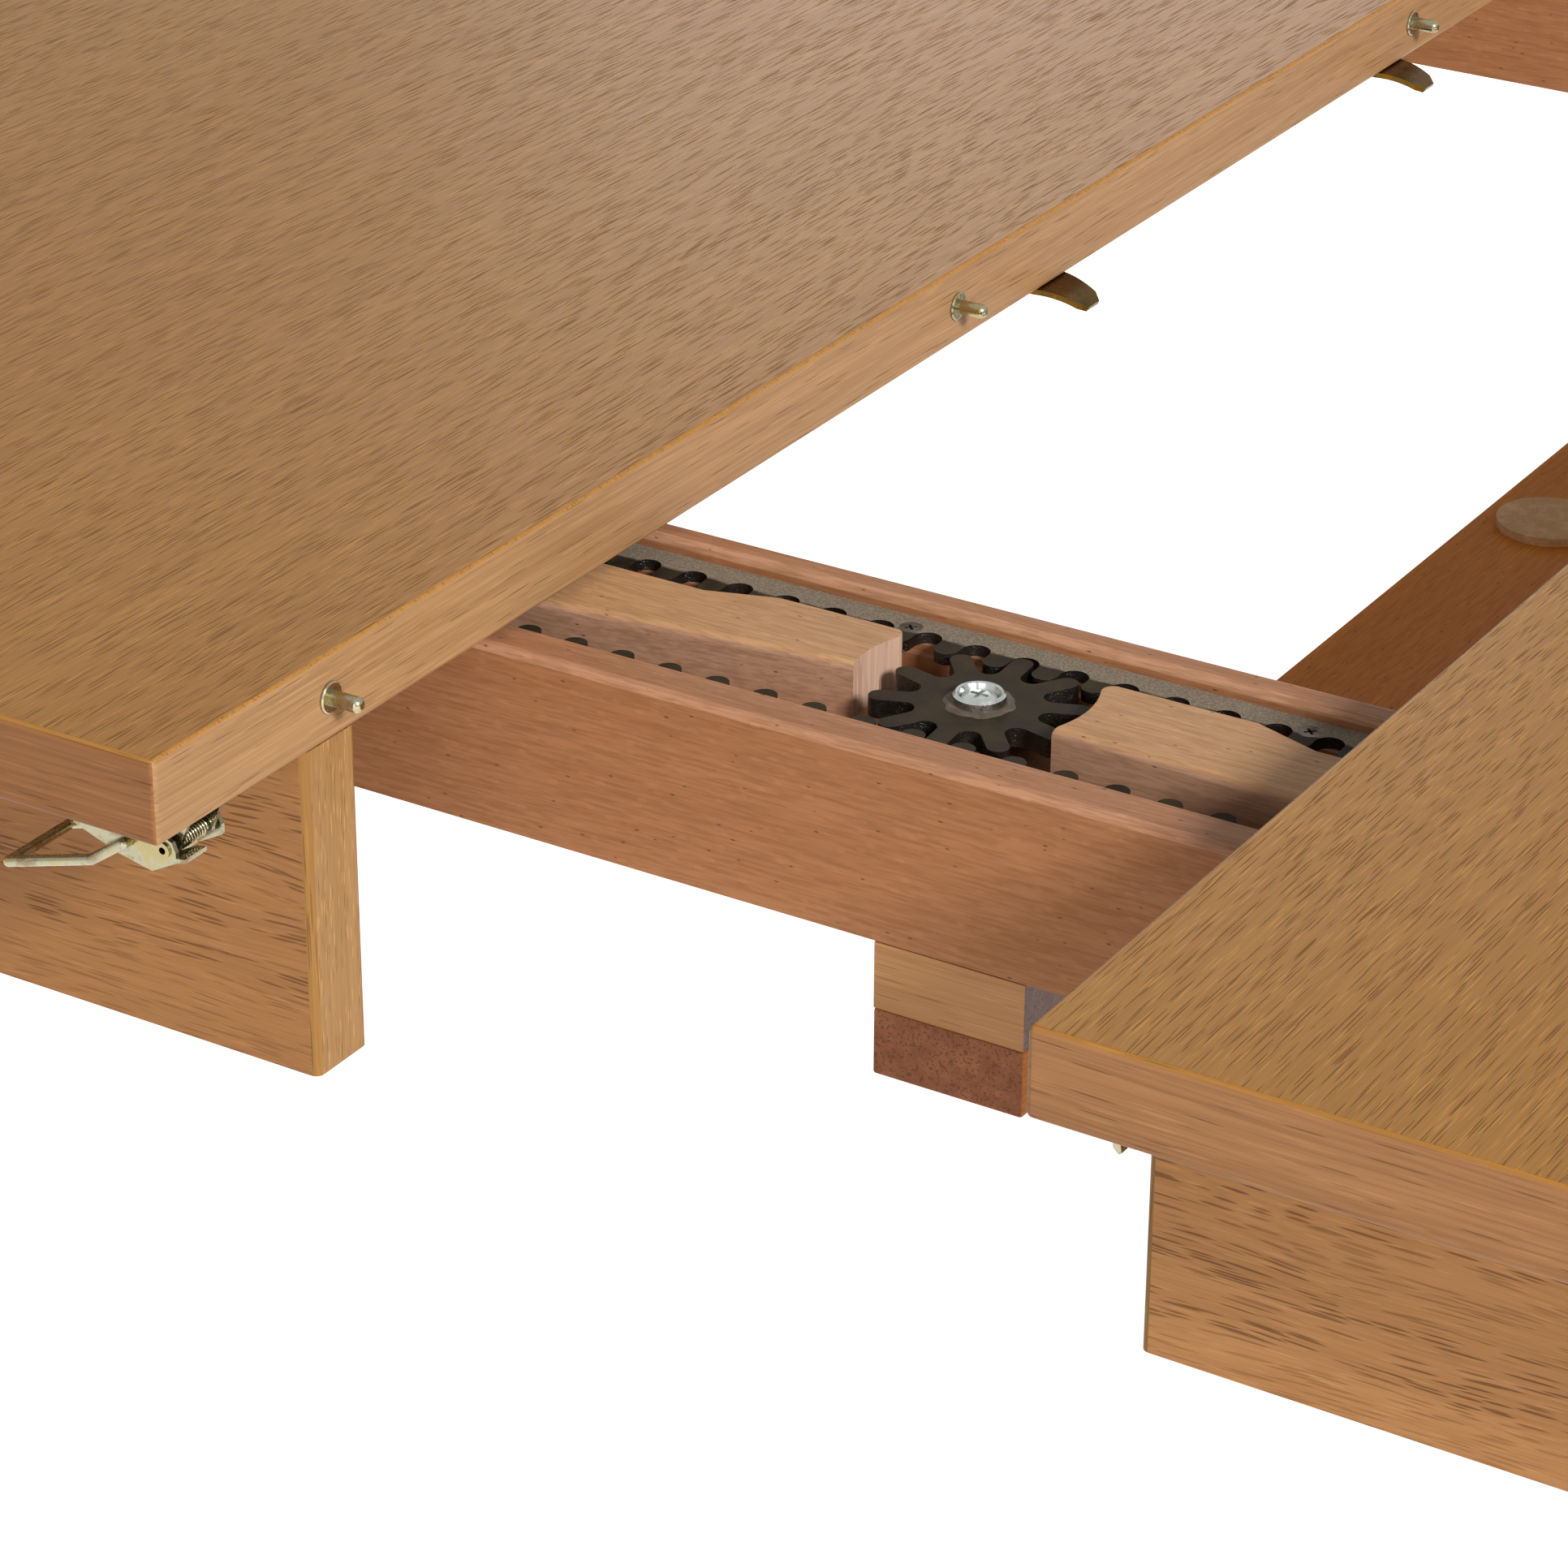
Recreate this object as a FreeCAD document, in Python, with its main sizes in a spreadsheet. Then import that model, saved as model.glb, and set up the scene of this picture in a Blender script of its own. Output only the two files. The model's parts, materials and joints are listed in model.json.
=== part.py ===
import FreeCAD, Part
import math
import os
import re
import Sketcher

# Draw leaf table with two halves on geared equaliser slides.
# Frame: +X along the draw, +Y across the table, +Z up, origin on the floor under the
# middle of the opening. All sizes are millimetres.

os.makedirs("parts", exist_ok=True)
doc = FreeCAD.newDocument("DrawLeafTable")

# ---------------------------------------------------------------- driving dimensions
SIZES = {
    # tops
    "table_height": 750,
    "top_length": 1000,
    "top_width": 1000,
    "top_thick": 21.5,
    "veneer_thick": 0.6,
    "lipping_width": 8,
    "edge_round": 1.5,
    "opening": 220,
    "leaf_width": 500,
    # legs and aprons
    "leg_inset": 54,
    "leg_size": 62,
    "foot_size": 42,
    "leg_straight": 130,
    "glide_thick": 4,
    "glide_radius": 12,
    "apron_reveal": 1,
    "apron_thick": 20,
    "apron_height": 86,
    "apron_round": 2.2,
    "apron_setback": 0.4,
    "corner_block_gap": 1,
    "corner_block_thick": 24,
    "corner_block_height": 60,
    "bolt_radius": 3,
    "bolt_spacing": 34,
    "bolt_bite": 30,
    # slides
    "slide_inset": 175,
    "slide_width": 88,
    "slide_clearance": 0.3,
    "packing_thick": 2.5,
    "packing_setback": 60,
    "rail_thick": 19.5,
    "rail_height": 50,
    "rail_spare": 170,
    "rail_tail": 380,
    "rail_round": 2.5,
    "left_ridge_width": 11.5,
    "right_ridge_width": 9,
    "right_ridge_drop": 1.6,
    "rabbet_depth": 8.5,
    "tongue_height": 10,
    "tongue_depth": 6,
    "bar_length": 800,
    "bar_drop": 15,
    "rail_screw_setback": 20,
    # racks and pinions
    "gear_module": 4.35,
    "gear_teeth": 10,
    "gear_thick": 5,
    "gear_addendum": 5.1,
    "gear_dedendum": 6,
    "gear_tooth_width": 5.6,
    "rack_thick": 3,
    "rack_addendum": 2.2,
    "rack_dedendum": 7,
    "rack_tooth_width": 6.4,
    "rack_shift": 1.6,
    "rack_spare": 56,
    "rack_tail": 27.5,
    "gear_washer_thick": 5,
    "axle_radius": 3,
    "axle_clearance": 0.06,
    "axle_bite": 29,
    "cup_radius": 6.9,
    "cup_height": 2.6,
    "cup_wall": 1.1,
    "rack_screw_count": 3,
    "rack_screw_first": 52.5,
    "rack_screw_teeth": 8,
    # filler blocks on the centre bars
    "block_left_hollow": 32,
    "block_right_hollow": 29,
    "block_length": 260,
    "block_left_near": 5,
    "block_right_near": 12,
    "block_left_flare": 11.5,
    "block_right_flare": 3,
    "block_flare_at": 115,
    "block_far": 16,
    "block_step": 6,
    "block_step_at": 66,
    "block_round": 3,
    "block_arris": 2.2,
    # crossbars
    "crossbar_width": 41,
    "crossbar_thick": 18,
    "crossbar_offset": 18,
    "crossbar_setback": 30,
    "spacer_thick": 18,
    "pad_radius": 15,
    "pad_thick": 2.5,
    "pad_offset": 23,
    "pad_spread": 138,
    # alignment pins and sockets
    "pin_inset": 65,
    "pin_count": 4,
    "pin_radius": 2,
    "pin_reach": 9.2,
    "pin_depth": 20,
    "pin_flange_radius": 4,
    "pin_flange_thick": 0.8,
    "socket_clearance": 0.15,
    "socket_wall": 1,
    "socket_depth": 14,
    "socket_recess": 1.2,
    # tongues
    "tongue_reach": 13.5,
    "tongue_root": 32,
    "tongue_width": 17,
    "tongue_tip_width": 11,
    "tongue_plate": 1.6,
    "tongue_fall": 4,
    "tongue_middle": 410,
    "tongue_outer": 632,
    # draw latches
    "latch_inset": 25,
    "latch_width": 18,
    "latch_metal": 1.2,
    "ear_gap": 1.2,
    "bracket_tail": 30,
    "bracket_ear": 7,
    "rivet_setback": 11.5,
    "rivet_drop": 10.5,
    "rivet_radius": 1.3,
    "rivet_clearance": 0.08,
    "rivet_head": 0.6,
    "rivet_head_radius": 1.9,
    "rivet_bore": 0.9,
    "lever_tail": 26,
    "lever_rise": 3.4,
    "lever_belly": 6.4,
    "finger_reach": 6,
    "finger_width": 8,
    "finger_shift": 5,
    "bail_setback": 21.3,
    "bail_reach": 34.4,
    "bail_fall": 14.2,
    "bail_wire": 1.35,
    "bail_gap": 0.3,
    "spring_wire": 0.32,
    "spring_radius": 1.85,
    "spring_pitch": 0.95,
    "spring_turns": 10,
    "keeper_setback": 12.2,
    "keeper_drop": 12.8,
    "keeper_plate": 24,
    "keeper_width": 16.8,
    # screws
    "wood_screw_radius": 1.75,
    "wood_screw_head": 3.4,
    "small_screw_radius": 1.4,
    "small_screw_head": 3,
    "screw_bite": 12,
}

sheet = doc.addObject("Spreadsheet::Sheet", "Sizes")
for row, (alias, value) in enumerate(SIZES.items(), start=1):
    sheet.set("A%d" % row, alias)
    sheet.set("B%d" % row, str(value))
    sheet.setAlias("B%d" % row, alias)
doc.recompute()

HALVES = {"left": -1, "right": 1}
ROWS = {"near": -1, "far": 1}
NODES = {}


def cells(formula):
    """A formula on sheet aliases, written the way an expression reads them."""
    return re.sub(r"[a-z]\w+", lambda word: "Sizes." + word.group(0), formula)


def size(alias):
    """The number in a cell of the sheet."""
    return float(sheet.get(alias))


def place(thing, corner):
    """Bind the position of an object to three formulas."""
    for axis, formula in zip("xyz", corner):
        thing.setExpression("Placement.Base." + axis, cells(formula))


def node(label, thing):
    """Name a finished sub-part."""
    thing.Label = label
    NODES[label] = thing
    return thing


# ---------------------------------------------------------------- places
UNDERSIDE = "table_height - top_thick"
APRON_INSET = "leg_inset + apron_reveal"
APRON_INNER = APRON_INSET + " + apron_thick"
RAIL_TOP = "table_height - top_thick - packing_thick"
RAIL_FOOT = "table_height - top_thick - packing_thick - rail_height"
BAR_TOP = "table_height - top_thick - packing_thick - bar_drop"
RACK_FOOT = "table_height - top_thick - packing_thick - rabbet_depth"
SPACER_TOP = RAIL_FOOT + " - slide_clearance"
CROSSBAR_TOP = SPACER_TOP + " - spacer_thick"


def along(half, start, length):
    """X of the low side of a span that starts a distance from a joint face."""
    if HALVES[half] < 0:
        return "-opening / 2 - (%s) - (%s)" % (start, length)
    return "opening / 2 + (%s)" % start


def across(row, start, width):
    """Y of the low side of a span that starts a distance from a long edge."""
    if ROWS[row] < 0:
        return "-top_width / 2 + (%s)" % start
    return "top_width / 2 - (%s) - (%s)" % (start, width)


def joint_x(half, distance):
    """X at a distance from a joint face, away from the opening."""
    return "%d * (opening / 2 + (%s))" % (HALVES[half], distance)


def slide_y(row, offset):
    """Y at a distance from a slide's centre line, towards its long edge."""
    return "%d * (top_width / 2 - slide_inset + (%s))" % (ROWS[row], offset)


def edge_y(row, distance):
    """Y at a distance from a long edge, towards the middle."""
    return "%d * (top_width / 2 - (%s))" % (ROWS[row], distance)


probe = doc.addObject("Part::Vertex", "probe")


def value_of(formula):
    """The value of a formula, read from a point whose place it sets."""
    probe.setExpression("X", cells(formula))
    probe.recompute()
    return probe.X.Value


def point(x, y, z):
    """A point from three formulas."""
    return FreeCAD.Vector(value_of(x), value_of(y), value_of(z))


# ---------------------------------------------------------------- building blocks
def board(name, sizes, corner):
    """A box whose sizes and corner are formulas."""
    box = doc.addObject("Part::Box", name)
    for side, formula in zip(("Length", "Width", "Height"), sizes):
        box.setExpression(side, cells(formula))
    place(box, corner)
    return box


TURNS = {
    "z": FreeCAD.Rotation(),
    "down": FreeCAD.Rotation(FreeCAD.Vector(1, 0, 0), 180),
    "about": FreeCAD.Rotation(FreeCAD.Vector(0, 0, 1), 180),
    "x": FreeCAD.Rotation(FreeCAD.Vector(0, 1, 0), 90),
    "y": FreeCAD.Rotation(FreeCAD.Vector(1, 0, 0), -90),
}


def rod(name, radius, length, start, direction="z"):
    """A cylinder along an axis, from a start point."""
    cylinder = doc.addObject("Part::Cylinder", name)
    cylinder.setExpression("Radius", cells(radius))
    cylinder.setExpression("Height", cells(length))
    cylinder.Placement = FreeCAD.Placement(FreeCAD.Vector(), TURNS[direction])
    place(cylinder, start)
    return cylinder


def cut(name, base, tool):
    """One object less another."""
    result = doc.addObject("Part::Cut", name)
    result.Base = base
    result.Tool = tool
    return result


def common(name, base, tool):
    """What two objects share."""
    result = doc.addObject("Part::Common", name)
    result.Base = base
    result.Tool = tool
    return result


def fused(name, pieces):
    """Several objects as one solid."""
    result = doc.addObject("Part::MultiFuse", name)
    result.Shapes = pieces
    return result


def group(name, pieces):
    """Several separate solids in one object."""
    result = doc.addObject("Part::Compound", name)
    result.Links = pieces
    return result


# How far from a line an edge may lie and still be taken as on it.
EDGE_SLACK = 0.01


def rounded(name, base, radius, wanted):
    """Round the edges that a test picks by their middle point and direction."""
    doc.recompute()
    result = doc.addObject("Part::Fillet", name)
    result.Base = base
    picked = []
    for index, edge in enumerate(base.Shape.Edges, start=1):
        direction = edge.tangentAt(edge.FirstParameter)
        if wanted(edge.CenterOfMass, direction, base.Shape.BoundBox):
            picked.append((index, size(radius), size(radius)))
    result.Edges = picked
    return result


def outline(name, role, points, length, corner=("0", "0", "0"), middle=False, back=False):
    """A body padded from a closed outline whose corners are formulas."""
    body = doc.addObject("PartDesign::Body", name)
    sketch = body.newObject("Sketcher::SketchObject", name + "_outline")
    plane = [entry for entry in body.Origin.OriginFeatures if entry.Role == role][0]
    sketch.AttachmentSupport = [(plane, "")]
    sketch.MapMode = "FlatFace"
    count = len(points)
    ring = [
        FreeCAD.Vector(math.cos(math.tau * turn / count), math.sin(math.tau * turn / count), 0)
        for turn in range(count)
    ]
    for turn in range(count):
        sketch.addGeometry(Part.LineSegment(ring[turn], ring[(turn + 1) % count]))
    for turn in range(count):
        sketch.addConstraint(Sketcher.Constraint("Coincident", turn, 2, (turn + 1) % count, 1))
    for turn, point in enumerate(points):
        for kind, formula in zip(("DistanceX", "DistanceY"), point):
            which = sketch.addConstraint(Sketcher.Constraint(kind, -1, 1, turn, 1, 1.0))
            sketch.setExpression("Constraints[%d]" % which, cells(formula))
    pad = body.newObject("PartDesign::Pad", name + "_pad")
    pad.Profile = sketch
    pad.setExpression("Length", cells(length))
    pad.Midplane = middle
    pad.Reversed = back
    place(body, corner)
    return body


def shaped(name, shape):
    """A piece whose outline is worked out by a formula."""
    feature = doc.addObject("Part::Feature", name)
    feature.Shape = shape
    return feature


def vertical_at(end):
    """A test for upright edges at one end in X."""
    def wanted(middle, direction, box):
        limit = box.XMax if end > 0 else box.XMin
        return abs(direction.z) > 0.9 and abs(middle.x - limit) < EDGE_SLACK
    return wanted


# ---------------------------------------------------------------- tops
PIN_PLACES = range(int(size("pin_count")))


def pin_y(index):
    """Y of an alignment pin, evenly spaced between the two insets."""
    return "-top_width / 2 + pin_inset + %d * (top_width - 2 * pin_inset) / (pin_count - 1)" % index


PIN_Z = "table_height - top_thick / 2"
# the lipping at a joint face is as deep as the socket holes
JOINT_LIPPING = "socket_recess + pin_flange_thick + socket_depth"


def joint_rods(half, name, radius, start, length):
    """Rods across a joint face at every alignment pin."""
    return [
        rod("%s_%s_%d" % (half, name, index), radius, length,
            (along(half, start, length), pin_y(index), PIN_Z), "x")
        for index in PIN_PLACES
    ]


def top(half):
    """Veneer, core and four lippings, all inside one slab with rounded edges."""
    slab = board(half + "_slab", ("top_length", "top_width", "top_thick"),
                 (along(half, "0", "top_length"), "-top_width / 2", UNDERSIDE))
    envelope = rounded(half + "_envelope", slab, "edge_round", lambda middle, direction, box: True)
    sheet_blank = board(half + "_veneer_blank", ("top_length", "top_width", "veneer_thick"),
                        (along(half, "0", "top_length"), "-top_width / 2",
                         "table_height - veneer_thick"))
    node(half + "_top_veneer", common(half + "_veneer", envelope, sheet_blank))

    body_height = "top_thick - veneer_thick"
    core_length = "top_length - lipping_width - (%s)" % JOINT_LIPPING
    core = board(half + "_core_blank",
                 (core_length, "top_width - 2 * lipping_width", body_height),
                 (along(half, JOINT_LIPPING, core_length),
                  "-top_width / 2 + lipping_width", UNDERSIDE))
    strips = []
    for row in ROWS:
        strips.append(board("%s_%s_lipping" % (half, row),
                            ("top_length", "lipping_width", body_height),
                            (along(half, "0", "top_length"), across(row, "0", "lipping_width"),
                             UNDERSIDE)))
    ends = (("joint", "0", JOINT_LIPPING),
            ("outer", "top_length - lipping_width", "lipping_width"))
    for end, start, width in ends:
        strips.append(board("%s_%s_lipping" % (half, end),
                            (width, "top_width - 2 * lipping_width", body_height),
                            (along(half, start, width),
                             "-top_width / 2 + lipping_width", UNDERSIDE)))
    if half == "left":
        holes = joint_rods(half, "pin_hole", "pin_radius", "0", "pin_depth")
    else:
        holes = joint_rods(half, "socket_hole", "pin_radius + socket_clearance + socket_wall",
                           "0", JOINT_LIPPING)
        holes += joint_rods(half, "socket_counterbore", "pin_flange_radius + 2 * socket_clearance",
                            "0", "socket_recess + pin_flange_thick")
    bores = group(half + "_top_holes", holes + [RAIL_SCREWS[half][1], HARDWARE_SCREWS[half][1]])
    rounded_strips = [common(strip.Name + "_edge", envelope, strip) for strip in strips]
    lippings = group(half + "_lipping_blanks", rounded_strips)
    node(half + "_top_lippings", cut(half + "_lippings", lippings, bores))
    node(half + "_top_core", cut(half + "_core", core, bores))


# ---------------------------------------------------------------- screws
HEAD_RIM = 0.3


def turned(points):
    """A solid turned about Z from a closed outline of (radius, height) corners."""
    corners = [FreeCAD.Vector(radius, 0, height) for radius, height in points]
    face = Part.Face(Part.makePolygon(corners + corners[:1]))
    return face.revolve(FreeCAD.Vector(), FreeCAD.Vector(0, 0, 1), 360)


def sink_shape(shank, head, length):
    """The hole that a countersunk screw fills, its mouth at the origin, running down -Z."""
    return turned([
        (0, 0),
        (head, 0),
        (head, -HEAD_RIM),
        (shank, -HEAD_RIM - head + shank),
        (shank, -length + shank),
        (0, -length),
    ])


def crossed(body, arm, slot, top_level, deep, first_turn):
    """A body with a cross recess sunk into its head."""
    for turn in (first_turn, first_turn + 90):
        corner = FreeCAD.Vector(-arm / 2, -slot / 2, top_level - deep)
        recess = Part.makeBox(arm, slot, deep, corner)
        recess.rotate(FreeCAD.Vector(), FreeCAD.Vector(0, 0, 1), turn)
        body = body.cut(recess)
    return body


def screw_shape(shank, head, length):
    """A countersunk screw, head face up at the origin, shank down -Z, with a cross recess."""
    return crossed(sink_shape(shank, head, length), head * 1.05, head * 0.24, 0,
                   (head - shank) * 0.7, 45)


def spread(name, shape, places, upward=False):
    """Copies of one shape at a list of points, as one object."""
    turn = TURNS["down"] if upward else TURNS["z"]
    copies = [shape.transformed(FreeCAD.Placement(point, turn).toMatrix()) for point in places]
    return shaped(name, Part.makeCompound(copies))


def screws(name, kind, length, places, upward=False):
    """Screws of one kind at a list of points, and the holes they fill."""
    shank = size(kind + "_screw_radius")
    head = size(kind + "_screw_head")
    made = spread(name, screw_shape(shank, head, length), places, upward)
    holes = spread(name + "_holes", sink_shape(shank, head, length), places, upward)
    return made, holes


RAIL_SCREW_PLACES = (
    "packing_setback + rail_screw_setback",
    "(packing_setback + rail_tail) / 2",
    "rail_tail - rail_screw_setback",
)

# Side of a slide that a half's rail runs on: 1 towards the long edge, -1 towards the middle.
RAIL_SIDE = {"left": 1, "right": -1}

# The ridge of a half's rail: how wide it is and how high it stands.
RIDGE_WIDTH = {"left": "left_ridge_width", "right": "right_ridge_width"}
RIDGE_TOP = {"left": RAIL_TOP, "right": RAIL_TOP + " - right_ridge_drop"}

RAIL_SCREWS = {}
for half in HALVES:
    ridge_middle = "%d * (slide_width - %s) / 2" % (RAIL_SIDE[half], RIDGE_WIDTH[half])
    spots = [
        point(joint_x(half, start), slide_y(row, ridge_middle), RAIL_FOOT)
        for row in ROWS for start in RAIL_SCREW_PLACES
    ]
    reach = size("rail_height") + size("packing_thick") + size("screw_bite")
    RAIL_SCREWS[half] = screws(half + "_rail_screws", "wood", reach, spots, upward=True)
    node(half + "_rail_screws", RAIL_SCREWS[half][0])


TONGUE_SCREW_PLACES = ("lipping_width + small_screw_head", "tongue_root - 2 * small_screw_head")
LATCH_SCREW_PLACES = (
    "rivet_setback + bracket_tail - 5 * small_screw_head",
    "rivet_setback + bracket_tail - 1.6 * small_screw_head",
)
KEEPER_SCREW_PLACES = (
    "keeper_setback + 2.4 * small_screw_head",
    "keeper_setback + keeper_plate - 2.4 * small_screw_head",
)
TONGUE_ROWS = ("tongue_middle", "tongue_outer")
tongue_spots = [
    point(joint_x("left", start), "-top_width / 2 + " + inset, UNDERSIDE + " - tongue_plate")
    for inset in TONGUE_ROWS for start in TONGUE_SCREW_PLACES
]
latch_spots = [
    point(joint_x("left", start), edge_y(row, "latch_inset"), UNDERSIDE + " - latch_metal")
    for row in ROWS for start in LATCH_SCREW_PLACES
]
keeper_spots = [
    point(joint_x("right", start), edge_y(row, "latch_inset"), UNDERSIDE + " - latch_metal")
    for row in ROWS for start in KEEPER_SCREW_PLACES
]
HARDWARE_SCREWS = {
    "left": screws("left_hardware_screws", "small", size("screw_bite"),
                   tongue_spots + latch_spots, upward=True),
    "right": screws("right_hardware_screws", "small", size("screw_bite"),
                    keeper_spots, upward=True),
}
for half in HALVES:
    node(half + "_hardware_screws", HARDWARE_SCREWS[half][0])


for half in HALVES:
    top(half)


# ---------------------------------------------------------------- pins and sockets
def pin_shape():
    """An alignment pin along +X with a collar and a rounded nose, joint face at x = 0."""
    radius = size("pin_radius")
    reach = size("pin_reach")
    nose = radius * 0.6
    shoulder = FreeCAD.Vector(reach - nose, radius, 0)
    cheek = FreeCAD.Vector(reach - nose * 0.3, radius * 0.72, 0)
    tip = FreeCAD.Vector(reach, radius * 0.4, 0)
    edges = Part.makePolygon([
        tip,
        FreeCAD.Vector(reach, 0, 0),
        FreeCAD.Vector(-size("pin_depth"), 0, 0),
        FreeCAD.Vector(-size("pin_depth"), radius, 0),
        FreeCAD.Vector(0, radius, 0),
        FreeCAD.Vector(0, size("pin_flange_radius"), 0),
        FreeCAD.Vector(size("pin_flange_thick") * 0.6, size("pin_flange_radius"), 0),
        FreeCAD.Vector(size("pin_flange_thick"), size("pin_flange_radius") * 0.9, 0),
        FreeCAD.Vector(size("pin_flange_thick"), radius, 0),
        shoulder,
    ]).Edges
    edges.append(Part.Arc(shoulder, cheek, tip).toShape())
    face = Part.Face(Part.Wire(edges))
    return face.revolve(FreeCAD.Vector(), FreeCAD.Vector(1, 0, 0), 360)


pin_points = [point(joint_x("left", "0"), pin_y(index), PIN_Z) for index in PIN_PLACES]
node("alignment_pins", spread("pins", pin_shape(), pin_points))

SOCKET_BORE = "pin_radius + socket_clearance"
sleeves = joint_rods("right", "sleeve", SOCKET_BORE + " + socket_wall",
                     "socket_recess", "pin_flange_thick + socket_depth")
collars = joint_rods("right", "collar", "pin_flange_radius", "socket_recess", "pin_flange_thick")
bushes = [fused("socket_%d" % index, [sleeves[index], collars[index]]) for index in PIN_PLACES]
socket_bores = joint_rods("right", "socket_bore", SOCKET_BORE, "socket_recess",
                          "pin_flange_thick + socket_depth - socket_wall")
node("alignment_sockets", cut("sockets", group("socket_blanks", bushes),
                              group("socket_bores", socket_bores)))


# ---------------------------------------------------------------- legs and aprons
LEG_HEAD = "table_height - top_thick - leg_straight"


def leg(half, row):
    """A square leg that tapers to the foot on its two inner faces."""
    name = "%s_%s_leg" % (half, row)
    outer_x = joint_x(half, "top_length - leg_inset")
    inner_x = joint_x(half, "top_length - leg_inset - leg_size")
    foot_x = joint_x(half, "top_length - leg_inset - foot_size")
    outer_y = edge_y(row, "leg_inset")
    inner_y = edge_y(row, "leg_inset + leg_size")
    foot_y = edge_y(row, "leg_inset + foot_size")
    body = doc.addObject("PartDesign::Body", name + "_blank")
    squares = []
    for level, end_x, end_y in (("glide_thick", foot_x, foot_y), (LEG_HEAD, inner_x, inner_y)):
        squares.append(rectangle(body, name + "_section%d" % len(squares),
                                 (outer_x, outer_y), (end_x, end_y), level))
    taper = body.newObject("PartDesign::AdditiveLoft", name + "_taper")
    taper.Profile = squares[0]
    taper.Sections = [squares[1]]
    taper.Ruled = True
    head = body.newObject("PartDesign::Pad", name + "_head")
    head.Profile = squares[1]
    head.setExpression("Length", cells("leg_straight"))
    return body


def rectangle(body, name, first, second, level):
    """A rectangular sketch at a height, its two opposite corners given by formulas."""
    sketch = body.newObject("Sketcher::SketchObject", name)
    plane = [entry for entry in body.Origin.OriginFeatures if entry.Role == "XY_Plane"][0]
    sketch.AttachmentSupport = [(plane, "")]
    sketch.MapMode = "FlatFace"
    sketch.setExpression("AttachmentOffset.Base.z", cells(level))
    corners = [(first[0], first[1]), (second[0], first[1]),
               (second[0], second[1]), (first[0], second[1])]
    start = [FreeCAD.Vector(0, 0), FreeCAD.Vector(1, 0), FreeCAD.Vector(1, 1), FreeCAD.Vector(0, 1)]
    for turn in range(4):
        sketch.addGeometry(Part.LineSegment(start[turn], start[(turn + 1) % 4]))
    for turn in range(4):
        sketch.addConstraint(Sketcher.Constraint("Coincident", turn, 2, (turn + 1) % 4, 1))
    for turn, corner in enumerate(corners):
        for kind, formula in zip(("DistanceX", "DistanceY"), corner):
            which = sketch.addConstraint(Sketcher.Constraint(kind, -1, 1, turn, 1, 1.0))
            sketch.setExpression("Constraints[%d]" % which, cells(formula))
    return sketch


LEG_FACE = "top_length - leg_inset - leg_size"


def side_apron(half, row):
    """A long side apron from the leg to the joint, its free end rounded."""
    name = "%s_%s_apron" % (half, row)
    length = LEG_FACE + " - apron_setback"
    blank = board(name + "_blank", (length, "apron_thick", "apron_height"),
                  (along(half, "apron_setback", length),
                   across(row, APRON_INSET, "apron_thick"), UNDERSIDE + " - apron_height"))
    free_end = -HALVES[half]
    return rounded(name + "_soft", blank, "apron_round", vertical_at(free_end))


def end_apron(half):
    """The apron between the two legs of a half."""
    width = "top_width - 2 * leg_inset - 2 * leg_size"
    return board(half + "_end_apron_board", ("apron_thick", width, "apron_height"),
                 (along(half, "top_length - (%s)" % APRON_INNER, "apron_thick"),
                  "-(%s) / 2" % width, UNDERSIDE + " - apron_height"))


BLOCK_REACH = "2 * (leg_size - apron_reveal - apron_thick) + corner_block_gap"


def corner_block(half, row):
    """A block across the inside corner behind a leg, touching both aprons and the top."""
    inner_x = "top_length - (%s)" % APRON_INNER
    wide = BLOCK_REACH + " + corner_block_thick"
    corners = [
        (joint_x(half, inner_x), edge_y(row, "%s + %s" % (APRON_INNER, BLOCK_REACH))),
        (joint_x(half, inner_x), edge_y(row, "%s + %s" % (APRON_INNER, wide))),
        (joint_x(half, "%s - (%s)" % (inner_x, wide)), edge_y(row, APRON_INNER)),
        (joint_x(half, "%s - (%s)" % (inner_x, BLOCK_REACH)), edge_y(row, APRON_INNER)),
    ]
    return outline("%s_%s_corner" % (half, row), "XY_Plane", corners, "corner_block_height",
                   ("0", "0", UNDERSIDE + " - corner_block_height"))


WASHER_TO_BOLT = 2.6
NUT_TO_BOLT = 1.9
WASHER_THICK_TO_BOLT = 0.5
NUT_THICK_TO_BOLT = 1.7


def bolt_shape():
    """A hanger bolt along +X through a block and washer into a leg, with a hex nut."""
    radius = size("bolt_radius")
    out = size("corner_block_thick") / math.sqrt(2)
    gap = size("corner_block_gap") / math.sqrt(2)
    inward = FreeCAD.Vector(1, 0, 0)
    washer_thick = radius * WASHER_THICK_TO_BOLT
    nut_thick = radius * NUT_THICK_TO_BOLT
    tail = washer_thick + 2 * nut_thick
    shank = Part.makeCylinder(radius, tail + out + gap + size("bolt_bite"),
                              FreeCAD.Vector(-tail - out, 0, 0), inward)
    seat = -out - washer_thick
    washer = Part.makeCylinder(radius * WASHER_TO_BOLT, washer_thick,
                               FreeCAD.Vector(seat, 0, 0), inward)
    corners = []
    for turn in range(7):
        angle = math.tau * turn / 6
        corners.append(FreeCAD.Vector(seat, radius * NUT_TO_BOLT * math.cos(angle),
                                      radius * NUT_TO_BOLT * math.sin(angle)))
    nut = Part.Face(Part.makePolygon(corners)).extrude(-nut_thick * inward)
    return shank.fuse([washer, nut]).removeSplitter()


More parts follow.
